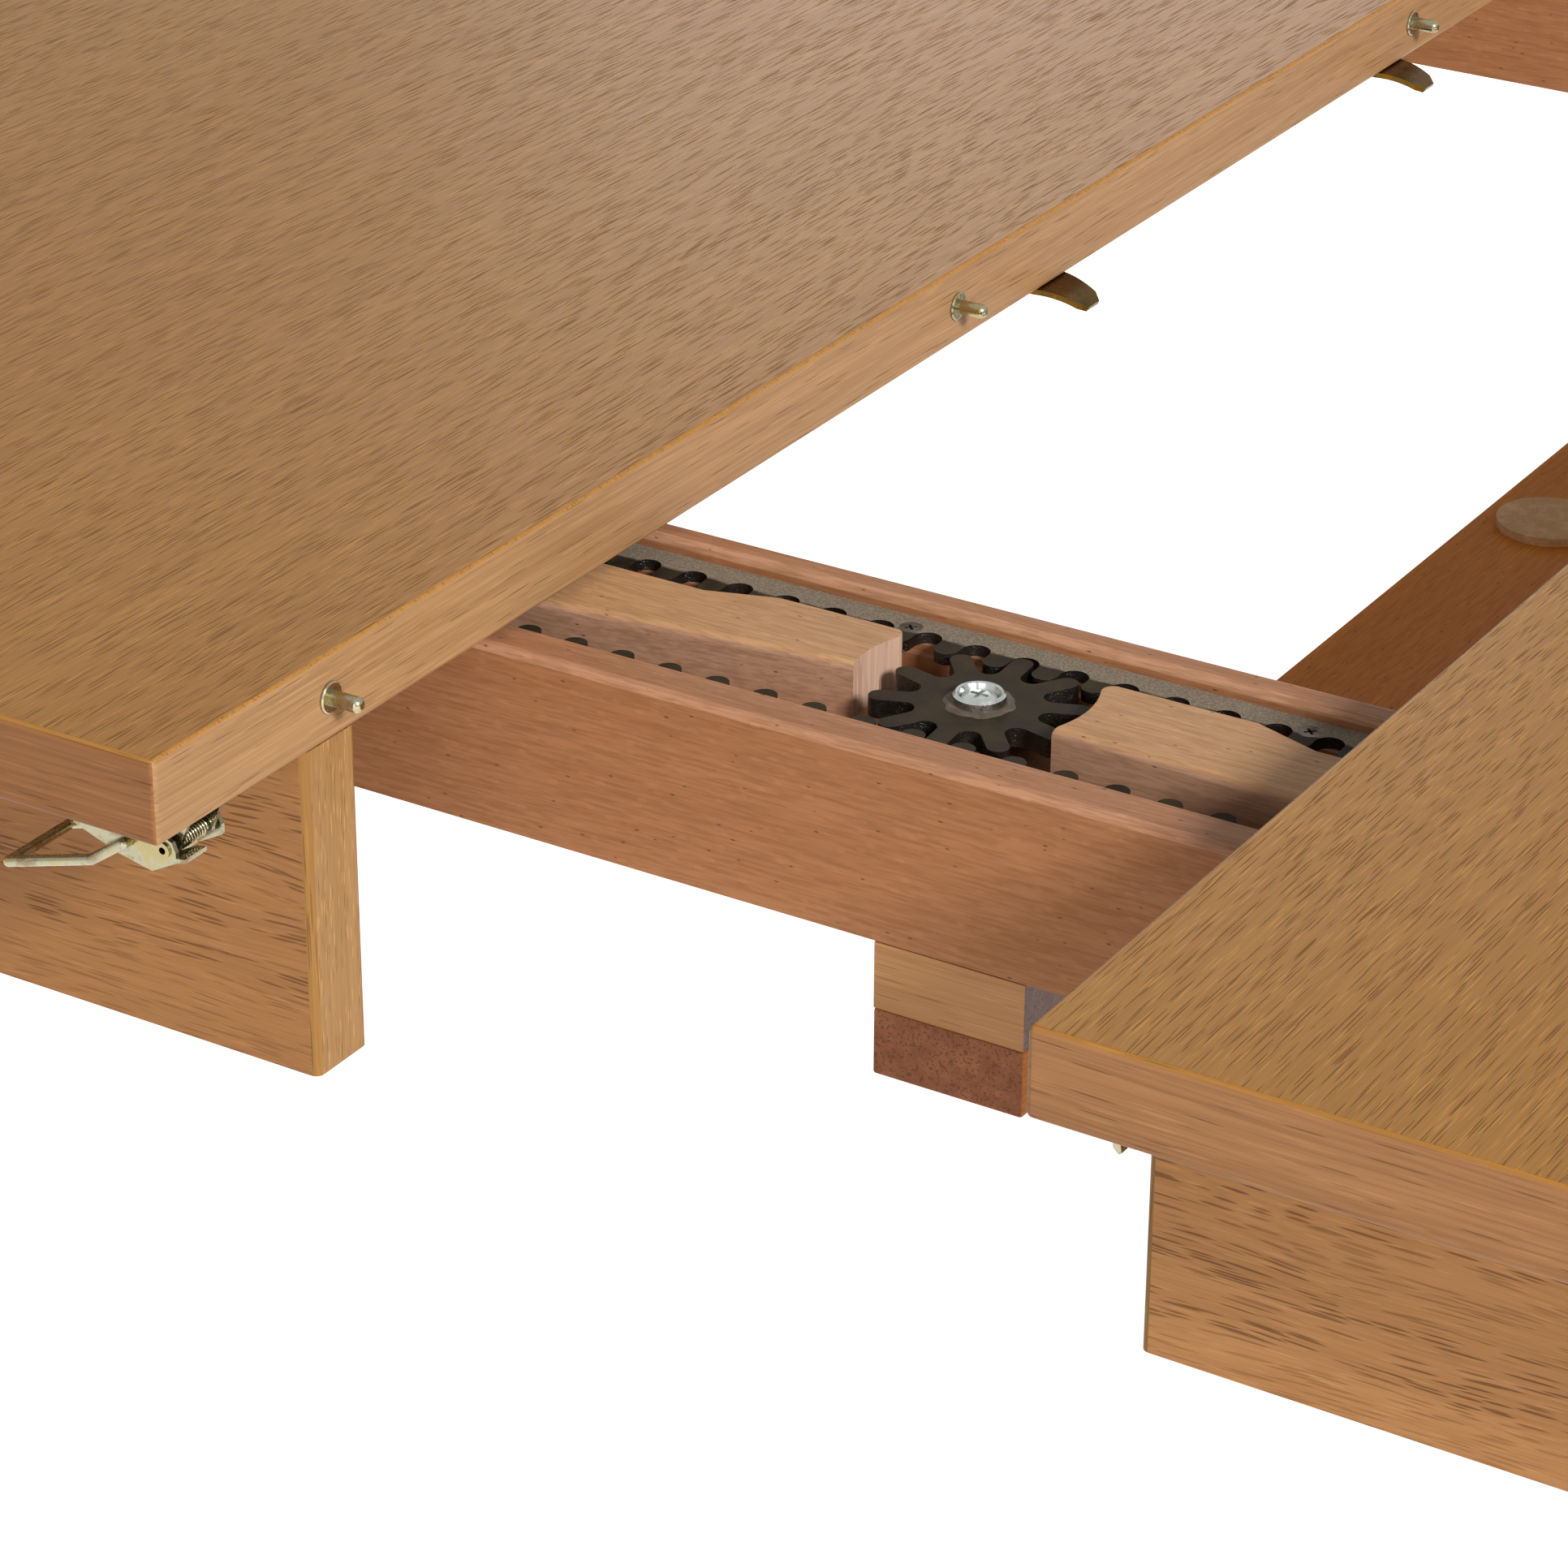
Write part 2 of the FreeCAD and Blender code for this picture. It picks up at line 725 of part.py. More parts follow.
def bolt_points(half, row):
    """Where the two bolts cross a corner block's front face, and the way they point."""
    inner_x = "top_length - (%s) - (%s) / 2" % (APRON_INNER, BLOCK_REACH)
    inner_y = "%s + (%s) / 2" % (APRON_INNER, BLOCK_REACH)
    middle = UNDERSIDE + " - corner_block_height / 2"
    turn = math.degrees(math.atan2(ROWS[row], HALVES[half]))
    spots = []
    for up in (-1, 1):
        level = middle + " + %d * bolt_spacing / 2" % up
        spots.append((point(joint_x(half, inner_x), edge_y(row, inner_y), level), turn))
    return spots


for half in HALVES:
    bolts = []
    for row in ROWS:
        for spot, turn in bolt_points(half, row):
            rotation = FreeCAD.Rotation(FreeCAD.Vector(0, 0, 1), turn)
            bolts.append(bolt_shape().transformed(FreeCAD.Placement(spot, rotation).toMatrix()))
    bolt_set = node(half + "_leg_bolts", shaped(half + "_bolts", Part.makeCompound(bolts)))
    for row in ROWS:
        node("%s_%s_leg" % (half, row), cut("%s_%s_leg_drilled" % (half, row),
                                            leg(half, row), bolt_set))
        node("%s_%s_apron" % (half, row), side_apron(half, row))
    node(half + "_end_apron", end_apron(half))
    blocks = group(half + "_corner_blanks", [corner_block(half, row) for row in ROWS])
    node(half + "_corner_blocks", cut(half + "_corners_drilled", blocks, bolt_set))
    glides = [
        rod("%s_%s_glide" % (half, row), "glide_radius", "glide_thick",
            (joint_x(half, "top_length - leg_inset - foot_size / 2"),
             edge_y(row, "leg_inset + foot_size / 2"), "0"))
        for row in ROWS
    ]
    node(half + "_glides", group(half + "_glide_pair", glides))


# ---------------------------------------------------------------- racks and pinions
PITCH_RADIUS = size("gear_module") * size("gear_teeth") / 2
TOOTH_PITCH = math.pi * size("gear_module")

# How far each end of a rack lies past the middle of the table.
RACK_TIP = "leaf_width / 2 + rack_spare - opening / 2"
RACK_HEEL = "opening / 2 + rack_tail"


def gear_shape():
    """A stamped pinion: fingers with round tips, round valleys and an axle bore, one on -Y."""
    teeth = int(size("gear_teeth"))
    half = size("gear_tooth_width") / 2
    tip = PITCH_RADIUS + size("gear_addendum")
    root = PITCH_RADIUS - size("gear_dedendum")
    thick = size("gear_thick")
    step = math.pi / teeth
    # A valley arc touches the two flanks beside it and reaches down to the root circle.
    foot = (root - half) / (1 - math.sin(step)) * math.cos(step)

    def on_tooth(angle, out, aside):
        turn = FreeCAD.Rotation(FreeCAD.Vector(0, 0, 1), math.degrees(angle))
        return turn.multVec(FreeCAD.Vector(out, aside, 0))

    edges = []
    for tooth in range(teeth):
        middle = -math.pi / 2 + 2 * step * tooth
        rise = [on_tooth(middle, foot, -half), on_tooth(middle, tip - half, -half)]
        fall = [on_tooth(middle, tip - half, half), on_tooth(middle, foot, half)]
        following = on_tooth(middle + 2 * step, foot, -half)
        edges += [
            Part.LineSegment(*rise).toShape(),
            Part.Arc(rise[1], on_tooth(middle, tip, 0), fall[0]).toShape(),
            Part.LineSegment(*fall).toShape(),
            Part.Arc(fall[1], on_tooth(middle + step, root, 0), following).toShape(),
        ]
    blank = Part.Face(Part.Wire(edges)).extrude(FreeCAD.Vector(0, 0, thick))
    bore = Part.makeCylinder(size("axle_radius") + size("axle_clearance"), thick)
    return blank.cut(bore)


def rack_shape(low, high, gap, back):
    """A flat rack along X, round teeth towards +Y, pitch line on y = 0, a gap at a given x."""
    tip = size("rack_addendum")
    root = -size("rack_dedendum")
    crown = size("rack_tooth_width") / 2
    hollow = TOOTH_PITCH / 2 - crown
    shoulder = tip - crown
    valley = root + hollow
    slant = hollow * math.sqrt(0.5)
    first = math.ceil((low - gap) / TOOTH_PITCH)
    last = math.floor((high - gap) / TOOTH_PITCH)
    # The rack runs flat along its root line from each end to the valley beside the last tooth.
    start = gap + first * TOOTH_PITCH
    end = gap + last * TOOTH_PITCH
    edges = Part.makePolygon([
        FreeCAD.Vector(end, root, 0), FreeCAD.Vector(high, root, 0), FreeCAD.Vector(high, back, 0),
        FreeCAD.Vector(low, back, 0), FreeCAD.Vector(low, root, 0), FreeCAD.Vector(start, root, 0),
    ]).Edges
    for tooth in range(first, last):
        left = gap + tooth * TOOTH_PITCH
        right = left + TOOTH_PITCH
        rise = [FreeCAD.Vector(left + hollow, valley, 0), FreeCAD.Vector(left + hollow, shoulder, 0)]
        fall = [FreeCAD.Vector(right - hollow, shoulder, 0), FreeCAD.Vector(right - hollow, valley, 0)]
        edges += [
            Part.Arc(FreeCAD.Vector(left, root, 0),
                     FreeCAD.Vector(left + slant, valley - slant, 0), rise[0]).toShape(),
            Part.LineSegment(*rise).toShape(),
            Part.Arc(rise[1], FreeCAD.Vector((left + right) / 2, tip, 0), fall[0]).toShape(),
            Part.LineSegment(*fall).toShape(),
            Part.Arc(fall[1], FreeCAD.Vector(right - slant, valley - slant, 0),
                     FreeCAD.Vector(right, root, 0)).toShape(),
        ]
    return Part.Face(Part.Wire(edges)).extrude(FreeCAD.Vector(0, 0, size("rack_thick")))


def rack_screw_points(half, row):
    """Screw places along the back of a rack, each in line with a tooth."""
    level = value_of(RACK_FOOT) + size("rack_thick")
    line = value_of(slide_y(row, str(RAIL_SIDE[half] * (PITCH_RADIUS + size("rack_dedendum")))))
    gap = -HALVES[half] * size("rack_shift")
    spots = []
    for step in range(int(size("rack_screw_count"))):
        from_tip = size("rack_screw_first") + step * size("rack_screw_teeth") * TOOTH_PITCH
        wanted = -HALVES[half] * (value_of(RACK_TIP) - from_tip)
        in_line = gap + (math.floor((wanted - gap) / TOOTH_PITCH) + 0.5) * TOOTH_PITCH
        spots.append(FreeCAD.Vector(in_line, line, level))
    return spots


RACK_SCREWS = {}
for half in HALVES:
    spots = [spot for row in ROWS for spot in rack_screw_points(half, row)]
    reach = size("rack_thick") + size("screw_bite")
    RACK_SCREWS[half] = screws(half + "_rack_screws", "small", reach, spots)
    node(half + "_rack_screws", RACK_SCREWS[half][0])


def rack(half, row):
    """A half's rack in its place beside a pinion."""
    tip = value_of(RACK_TIP)
    heel = value_of(RACK_HEEL)
    facing = ROWS[row] * RAIL_SIDE[half]
    if facing * HALVES[half] > 0:
        low, high = -heel, tip
    else:
        low, high = -tip, heel
    turn = TURNS["z"] if facing < 0 else TURNS["about"]
    pitch_line = "%d * gear_module * gear_teeth / 2" % RAIL_SIDE[half]
    spot = FreeCAD.Placement(point("0", slide_y(row, pitch_line), RACK_FOOT), turn)
    back = PITCH_RADIUS + size(RIDGE_WIDTH[half]) - size("slide_width") / 2
    plate = rack_shape(low, high, -ROWS[row] * size("rack_shift"), back)
    return shaped("%s_%s_rack_blank" % (half, row), plate.transformed(spot.toMatrix()))


for half in HALVES:
    racks = group(half + "_rack_blanks", [rack(half, row) for row in ROWS])
    node(half + "_racks", cut(half + "_racks_drilled", racks, RACK_SCREWS[half][1]))

GEAR_FOOT = BAR_TOP + " + gear_washer_thick"
for row in ROWS:
    # The pinion is turned as far as its racks are shifted.
    turn = -ROWS[row] * math.degrees(size("rack_shift") / PITCH_RADIUS)
    spot = FreeCAD.Placement(point("0", slide_y(row, "0"), GEAR_FOOT),
                             FreeCAD.Rotation(FreeCAD.Vector(0, 0, 1), turn))
    node(row + "_pinion", shaped(row + "_gear", gear_shape().transformed(spot.toMatrix())))


CUP_SEAT = size("cup_wall") * 0.6


def cup_shape():
    """A pressed cup washer: a raised rim around a cone that seats a screw head."""
    rim = size("cup_radius")
    tall = size("cup_height")
    wall = size("cup_wall")
    seat = size("axle_radius") + size("axle_clearance")
    return turned([
        (seat, 0),
        (rim, 0),
        (rim - wall * 0.4, tall * 0.75),
        (rim - wall, tall),
        (rim - wall * 1.5, tall * 0.9),
        (rim - wall * 2.2, CUP_SEAT),
        (seat, CUP_SEAT),
    ])


def axle_shape():
    """A pinion screw: pan head above the cup, plain axle through the pinion, thread below."""
    radius = size("axle_radius")
    low = -size("gear_washer_thick") - size("axle_bite")
    high = size("gear_thick") + size("slide_clearance") + CUP_SEAT
    head = radius * 1.45
    crown = radius * 0.45
    body = turned([
        (0, low - radius),
        (radius, low),
        (radius, high),
        (head, high),
        (head, high + crown * 0.3),
        (head * 0.6, high + crown * 0.9),
        (0, high + crown),
    ])
    return crossed(body, head * 1.1, head * 0.24, high + crown, crown * 0.65, 0)


axle_points = [point("0", slide_y(row, "0"), GEAR_FOOT) for row in ROWS]
cup_lift = FreeCAD.Vector(0, 0, size("gear_thick") + size("slide_clearance"))
cup_points = [spot + cup_lift for spot in axle_points]
axles = node("pinion_screws", spread("axles", axle_shape(), axle_points))
node("pinion_cups", spread("cups", cup_shape(), cup_points))
washers = [
    cut(row + "_washer_ring",
        rod(row + "_washer_disc", "axle_radius * 2.4", "gear_washer_thick - slide_clearance",
            ("0", slide_y(row, "0"), BAR_TOP)),
        rod(row + "_washer_bore", "axle_radius", "gear_washer_thick",
            ("0", slide_y(row, "0"), BAR_TOP)))
    for row in ROWS
]
node("pinion_washers", group("washers", washers))


# ---------------------------------------------------------------- slides
TONGUE_MIDDLE = "(%s + %s) / 2" % (BAR_TOP, RAIL_FOOT)
RAIL_LEAD = "leaf_width / 2 + rail_spare"
PINION_REACH = "gear_module * gear_teeth / 2 + gear_addendum + slide_clearance"
RELIEF_FLOOR = GEAR_FOOT + " - slide_clearance"


def rail(half, row):
    """A rail: a ridge, a rabbet for the rack, a relief under the pinion and a tongue groove."""
    name = "%s_%s_rail" % (half, row)
    sign = RAIL_SIDE[half]
    outer = "%d * (slide_width / 2)" % sign
    ridge = "%d * (slide_width / 2 - %s)" % (sign, RIDGE_WIDTH[half])
    relief = "%d * (%s)" % (sign, PINION_REACH)
    inner = "%d * (slide_width / 2 - rail_thick)" % sign
    groove = "%d * (slide_width / 2 - rail_thick + tongue_depth + slide_clearance)" % sign
    high = TONGUE_MIDDLE + " + tongue_height / 2 + slide_clearance"
    low = TONGUE_MIDDLE + " - tongue_height / 2 - slide_clearance"
    corners = [
        (slide_y(row, outer), RAIL_FOOT),
        (slide_y(row, outer), RIDGE_TOP[half]),
        (slide_y(row, ridge), RIDGE_TOP[half]),
        (slide_y(row, ridge), RACK_FOOT),
        (slide_y(row, relief), RACK_FOOT),
        (slide_y(row, relief), RELIEF_FLOOR),
        (slide_y(row, inner), RELIEF_FLOOR),
        (slide_y(row, inner), high),
        (slide_y(row, groove), high),
        (slide_y(row, groove), low),
        (slide_y(row, inner), low),
        (slide_y(row, inner), RAIL_FOOT),
    ]
    length = RAIL_LEAD + " + rail_tail"
    start = along(half, "-(%s)" % RAIL_LEAD, length)
    body = outline(name + "_section", "YZ_Plane", corners, length, (start, "0", "0"))
    doc.recompute()
    # The ridge of a left rail is rounded on its outside, and that of a right rail on both sides.
    soft_edges = [outer] if half == "left" else [outer, ridge]
    lines = [value_of(slide_y(row, edge)) for edge in soft_edges]

    def ridge_edge(middle, direction, box):
        return (abs(direction.x) > 0.9 and abs(middle.z - box.ZMax) < EDGE_SLACK
                and min(abs(middle.y - line) for line in lines) < EDGE_SLACK)

    soft = rounded(name + "_soft", body, "rail_round", ridge_edge)
    holes = group(name + "_holes", [RAIL_SCREWS[half][1], RACK_SCREWS[half][1]])
    return cut(name + "_drilled", soft, holes)


def packing(half, row):
    """A thin strip that keeps a rail's ridge clear of the underside of the top."""
    sign = RAIL_SIDE[half]
    width = RIDGE_WIDTH[half]
    edge = "slide_inset - %d * (slide_width - %s) / 2 - %s / 2" % (sign, width, width)
    length = "rail_tail - packing_setback"
    tall = "%s - (%s)" % (UNDERSIDE, RIDGE_TOP[half])
    return board("%s_%s_packing" % (half, row), (length, width, tall),
                 (along(half, "packing_setback", length), across(row, edge, width),
                  RIDGE_TOP[half]))


for half in HALVES:
    for row in ROWS:
        node("%s_%s_rail" % (half, row), rail(half, row))
    strips = group(half + "_packing_blanks", [packing(half, row) for row in ROWS])
    node(half + "_packings", cut(half + "_packing_drilled", strips, RAIL_SCREWS[half][1]))

BAR_HALF = "slide_width / 2 - rail_thick - slide_clearance"
CROSSBAR_PLACES = (
    "crossbar_offset",
    "-(bar_length / 2 - crossbar_setback)",
    "bar_length / 2 - crossbar_setback",
)


def crossbar_screw_points():
    """Two screws through each crossbar and spacer into each centre bar."""
    spots = []
    for middle in CROSSBAR_PLACES:
        for row in ROWS:
            for side in (-1, 1):
                spots.append(point("%s + %d * crossbar_width / 4" % (middle, side),
                                   slide_y(row, "%d * (%s) / 2" % (side, BAR_HALF)),
                                   CROSSBAR_TOP + " - crossbar_thick"))
    return spots


crossbar_reach = size("crossbar_thick") + size("spacer_thick") + size("screw_bite")
crossbar_screws, crossbar_holes = screws("carriage_screws", "wood", crossbar_reach,
                                         crossbar_screw_points(), upward=True)
node("crossbar_screws", crossbar_screws)


def centre_bar(row):
    """The fixed middle bar of a slide, with a tongue on each side."""
    name = row + "_centre_bar"
    high = TONGUE_MIDDLE + " + tongue_height / 2"
    low = TONGUE_MIDDLE + " - tongue_height / 2"
    wide = "(%s + tongue_depth)" % BAR_HALF
    half = "(%s)" % BAR_HALF
    corners = []
    for sign, start, first, second, end in ((-1, SPACER_TOP, low, high, BAR_TOP),
                                            (1, BAR_TOP, high, low, SPACER_TOP)):
        for offset, level in ((half, start), (half, first), (wide, first),
                              (wide, second), (half, second), (half, end)):
            corners.append((slide_y(row, "%d * %s" % (sign, offset)), level))
    return outline(name + "_section", "YZ_Plane", corners, "bar_length",
                   ("-bar_length / 2", "0", "0"))


def filler_block(row, half):
    """A block on a centre bar, hollowed around the pinion and stepped at its back edge."""
    name = "%s_block_%s" % (row, half)
    hollow = "block_%s_hollow" % half
    near = "block_%s_near" % half
    wide = near + " + block_%s_flare" % half

    def at(distance, offset):
        return "%d * (%s)" % (HALVES[half], distance), slide_y(row, offset)

    start = hollow + " * 0.7"
    far = hollow + " + block_length"
    corners = [
        at(start, near),
        at("block_flare_at", wide),
        at(far, wide),
        at(far, "-(block_far - block_step)"),
        at("block_step_at + 3 * block_step", "-(block_far - block_step)"),
        at("block_step_at", "-block_far"),
        at(start, "-block_far"),
    ]
    body = outline(name, "XY_Plane", corners, "bar_drop", ("0", "0", BAR_TOP))
    clearing = rod(name + "_hole", hollow, "bar_drop", ("0", slide_y(row, "0"), BAR_TOP))
    return softened(name, row, cut(name + "_end", body, clearing))


def softened(name, row, block):
    """A block with a round corner beside the pinion and a worn arris along its near side."""
    doc.recompute()
    middle_line = value_of(slide_y(row, "0"))
    far_line = value_of(slide_y(row, "-block_far"))
    reach = size("block_step_at") / 2

    def beside_pinion(middle, direction, box):
        return (abs(direction.z) > 0.9 and abs(middle.y - far_line) < EDGE_SLACK
                and abs(middle.x) < reach)

    def near_arris(middle, direction, box):
        return (abs(direction.x) > 0.9 and abs(middle.z - box.ZMax) < EDGE_SLACK
                and (middle.y - middle_line) * ROWS[row] > 0)

    corner = rounded(name + "_corner", block, "block_round", beside_pinion)
    doc.recompute()
    return rounded(name + "_worn", corner, "block_arris", near_arris)


bar_pair = group("centre_bar_blanks", [centre_bar(row) for row in ROWS])
bar_holes = group("bar_holes", [axles, crossbar_holes])
node("centre_bars", cut("centre_bars_drilled", bar_pair, bar_holes))
for row in ROWS:
    pair = [filler_block(row, half) for half in HALVES]
    node(row + "_filler_blocks", group(row + "_block_pair", pair))

# ---------------------------------------------------------------- crossbars
SLIDE_OUT = "slide_inset - slide_width / 2"


def crossbar(index, middle):
    """A bar under both slides that ties the centre bars and carries a stored leaf."""
    length = "top_width - 2 * (%s)" % SLIDE_OUT
    return board("crossbar_%d" % index, ("crossbar_width", length, "crossbar_thick"),
                 (middle + " - crossbar_width / 2", "-(%s) / 2" % length,
                  CROSSBAR_TOP + " - crossbar_thick"))


def spacer(index, middle, row):
    """A spacer between a crossbar and a slide."""
    return board("spacer_%d_%s" % (index, row), ("crossbar_width", "slide_width", "spacer_thick"),
                 (middle + " - crossbar_width / 2", across(row, SLIDE_OUT, "slide_width"),
                  CROSSBAR_TOP))


bars = [crossbar(index, middle) for index, middle in enumerate(CROSSBAR_PLACES)]
node("crossbars", cut("crossbars_drilled", group("crossbar_blanks", bars), crossbar_holes))
spacers = [
    spacer(index, middle, row)
    for index, middle in enumerate(CROSSBAR_PLACES) for row in ROWS
]
node("crossbar_spacers", cut("spacers_drilled", group("spacer_blanks", spacers), crossbar_holes))
pad_places = [("crossbar_offset", "-pad_offset")]
pad_places += [
    (middle, "%d * pad_spread" % side) for middle in CROSSBAR_PLACES[1:] for side in (-1, 1)
]
pads = [
    rod("pad_%d" % index, "pad_radius", "pad_thick", (x, y, CROSSBAR_TOP))
    for index, (x, y) in enumerate(pad_places)
]
node("felt_pads", group("pad_set", pads))


# ---------------------------------------------------------------- tongues
def tongue_shape():
    """A steel tongue, joint face at x = 0: a flat root, then a falling and narrowing nose."""
    thick = size("tongue_plate")
    reach = size("tongue_reach")
    root = size("tongue_root")
    fall = size("tongue_fall")
    bend = thick
    sweep = reach + bend
    radius = (sweep ** 2 + fall ** 2) / (2 * fall)
    swing = math.asin(sweep / radius)

    def arc_point(distance, angle):
        across_bend = distance * math.sin(angle) - bend
        return FreeCAD.Vector(across_bend, 0, distance * math.cos(angle) - radius)

    side = [
        FreeCAD.Vector(-root, 0, 0),
        arc_point(radius, 0),
        arc_point(radius, swing / 2),
        arc_point(radius, swing),
        arc_point(radius - thick, swing),
        arc_point(radius - thick, swing / 2),
        arc_point(radius - thick, 0),
        FreeCAD.Vector(-root, 0, -thick),
    ]
    edges = [
        Part.LineSegment(side[0], side[1]).toShape(),
        Part.Arc(side[1], side[2], side[3]).toShape(),
        Part.LineSegment(side[3], side[4]).toShape(),
        Part.Arc(side[4], side[5], side[6]).toShape(),
        Part.LineSegment(side[6], side[7]).toShape(),
        Part.LineSegment(side[7], side[0]).toShape(),
    ]
    wide = size("tongue_width")
    strip = Part.Face(Part.Wire(edges)).extrude(FreeCAD.Vector(0, wide, 0))
    strip.translate(FreeCAD.Vector(0, -wide / 2, 0))
    tip = size("tongue_tip_width")
    soft = tip * 0.25
    low = -fall - 2 * thick
    flank = [
        FreeCAD.Vector(-root, wide / 2, low),
        FreeCAD.Vector(-bend, wide / 2, low),
        FreeCAD.Vector(reach - soft, tip / 2, low),
        FreeCAD.Vector(reach + soft, tip / 2 - 2 * soft, low),
    ]
    mirrored = [FreeCAD.Vector(corner.x, -corner.y, low) for corner in reversed(flank)]
    plan = flank + mirrored
    plate = Part.Face(Part.makePolygon(plan + plan[:1])).extrude(FreeCAD.Vector(0, 0, -2 * low))
    return strip.common(plate)


tongue_points = [
    point(joint_x("left", "0"), "-top_width / 2 + " + inset, UNDERSIDE) for inset in TONGUE_ROWS
]
tongues = spread("tongue_pair", tongue_shape(), tongue_points)
node("joint_tongues", cut("tongues_drilled", tongues, HARDWARE_SCREWS["left"][1]))


# ---------------------------------------------------------------- draw latches
def latch_point(row, half="left"):
    """Middle of a latch on the underside, at the joint face."""
    return point(joint_x(half, "0"), edge_y(row, "latch_inset"), UNDERSIDE)


def profile_plate(points, width, shift=0.0):
    """A prism across Y from an outline in X and Z, centred on y = shift."""
    corners = [FreeCAD.Vector(x, shift - width / 2, z) for x, z in points]
    return Part.Face(Part.makePolygon(corners + corners[:1])).extrude(FreeCAD.Vector(0, width, 0))


def cross_rod(radius, length, x, z, shift=0.0):
    """A cylinder across Y, centred on y = shift."""
    start = FreeCAD.Vector(x, shift - length / 2, z)
    return Part.makeCylinder(radius, length, start, FreeCAD.Vector(0, 1, 0))


RIVET_X = -size("rivet_setback")
RIVET_Z = -size("rivet_drop")
BAIL_X = -size("bail_setback")


def from_rivet(points):
    """Outline points measured from the rivet's axis."""
    return [(RIVET_X + x, RIVET_Z + z) for x, z in points]


def bracket_shape():
    """A plate on the underside with two round-nosed ears that carry the rivet."""
    metal = size("latch_metal")
    width = size("latch_width") - 2 * metal - 2 * size("ear_gap")
    ear_root = size("bracket_ear")
    nose = 2 * size("rivet_radius")
    tail = RIVET_X - size("bracket_tail")
    plate = profile_plate([(tail, 0), (RIVET_X + ear_root, 0), (RIVET_X + ear_root, -metal),
                           (tail, -metal)], width)
    ear = [(RIVET_X - ear_root, 0), (RIVET_X + ear_root, 0), (RIVET_X + nose, RIVET_Z),
           (RIVET_X - nose, RIVET_Z)]
    ears = []
    for side in (-1, 1):
        middle = side * (width - metal) / 2
        ears.append(profile_plate(ear, metal, middle))
        ears.append(cross_rod(nose, metal, RIVET_X, RIVET_Z, middle))
    hole = cross_rod(size("rivet_radius"), width, RIVET_X, RIVET_Z)
    return plate.fuse(ears).removeSplitter().cut(hole)


def rivet_shape():
    """A tubular rivet across the lever with a flat rim at each end."""
    width = size("latch_width")
    head = size("rivet_head")
    shank = cross_rod(size("rivet_radius"), width, RIVET_X, RIVET_Z)
    heads = [
        cross_rod(size("rivet_head_radius"), head, RIVET_X, RIVET_Z, side * (width + head) / 2)
        for side in (-1, 1)
    ]
    bore = cross_rod(size("rivet_bore"), width + 2 * head, RIVET_X, RIVET_Z)
    return shank.fuse(heads).removeSplitter().cut(bore)


def lever_shape():
    """A folded lever: two cheeks on the rivet, a web behind it and a finger beside one cheek."""
    metal = size("latch_metal")
    outer = size("latch_width")
    tail = size("lever_tail")
    rise = size("lever_rise")
    belly = size("lever_belly")
    roof = [(-tail, rise), (0, rise)]
    nose = [(rise * 0.7, rise * 0.7), (rise, 0), (rise, -belly * 0.4)]
    sole = [(-rise * 1.1, -belly), (-tail / 2, -belly * 0.7), (-tail, 0)]
    block = profile_plate(from_rivet(roof + nose + sole), outer)

    inner_width = outer - 2 * metal
    ahead = belly + metal
    web_top = [(ahead, metal - belly * 0.4), (rise, metal - belly * 0.4)]
    web_top += [(x, z + metal) for x, z in sole[:2]]
    inside = [(-tail - metal, rise + metal), (ahead, rise + metal)] + web_top
    inside.append((-tail - metal, 1.5 * metal))
    hollow = profile_plate(from_rivet(inside), inner_width)
    rivet_hole = cross_rod(size("rivet_radius") + size("rivet_clearance"), outer, RIVET_X, RIVET_Z)
    bail_hole = cross_rod(size("bail_wire") + size("rivet_clearance"), outer, BAIL_X, RIVET_Z)
    # In front of the rivet the web is cut away beside the finger.
    mouth_low = size("finger_width") / 2 - size("finger_shift")
    mouth_high = inner_width / 2
    mouth_foot = [(-rise, -belly - metal), (ahead, -belly - metal)]
    mouth = profile_plate(from_rivet(mouth_foot + [(ahead, rise), (-rise, rise)]),
                          mouth_high - mouth_low, (mouth_low + mouth_high) / 2)
    folded = block.cut([hollow, rivet_hole, bail_hole, mouth])

    reach = size("finger_reach")
    finger = profile_plate(from_rivet([
        (0, -belly * 0.68),
        (rise, -belly * 0.4),
        (reach, metal / 2 - belly * 0.4),
        (reach, metal * 1.4 - belly * 0.4),
        (rise, metal - belly * 0.4),
        (0, metal - belly * 0.68),
    ]), size("finger_width"), -size("finger_shift"))
    return folded.fuse(finger).removeSplitter()


def bail_shape():
    """A wire loop outside the lever, its two hooked ends turning in the lever's cheeks."""
    radius = size("bail_wire")
    hook_y = size("latch_width") / 2 - size("latch_metal")
    leg_y = size("latch_width") / 2 + size("rivet_head") + size("bail_gap") + radius
    end_x = BAIL_X - size("bail_reach")
    end_z = RIVET_Z - size("bail_fall")
    elbow_x = BAIL_X - size("bail_reach") * 0.28
    elbow_z = RIVET_Z - size("bail_fall") * 0.48
    leg = [
        FreeCAD.Vector(BAIL_X, hook_y, RIVET_Z),
        FreeCAD.Vector(BAIL_X, leg_y, RIVET_Z),
        FreeCAD.Vector(elbow_x, leg_y, elbow_z),
        FreeCAD.Vector(end_x, leg_y, end_z),
    ]
    route = leg + [FreeCAD.Vector(spot.x, -spot.y, spot.z) for spot in reversed(leg)]
    pieces = []
    for first, second in zip(route, route[1:]):
        pieces.append(Part.makeCylinder(radius, (second - first).Length, first, second - first))
    for corner in route[1:-1]:
        pieces.append(Part.makeSphere(radius, corner))
    return pieces[0].fuse(pieces[1:]).removeSplitter()


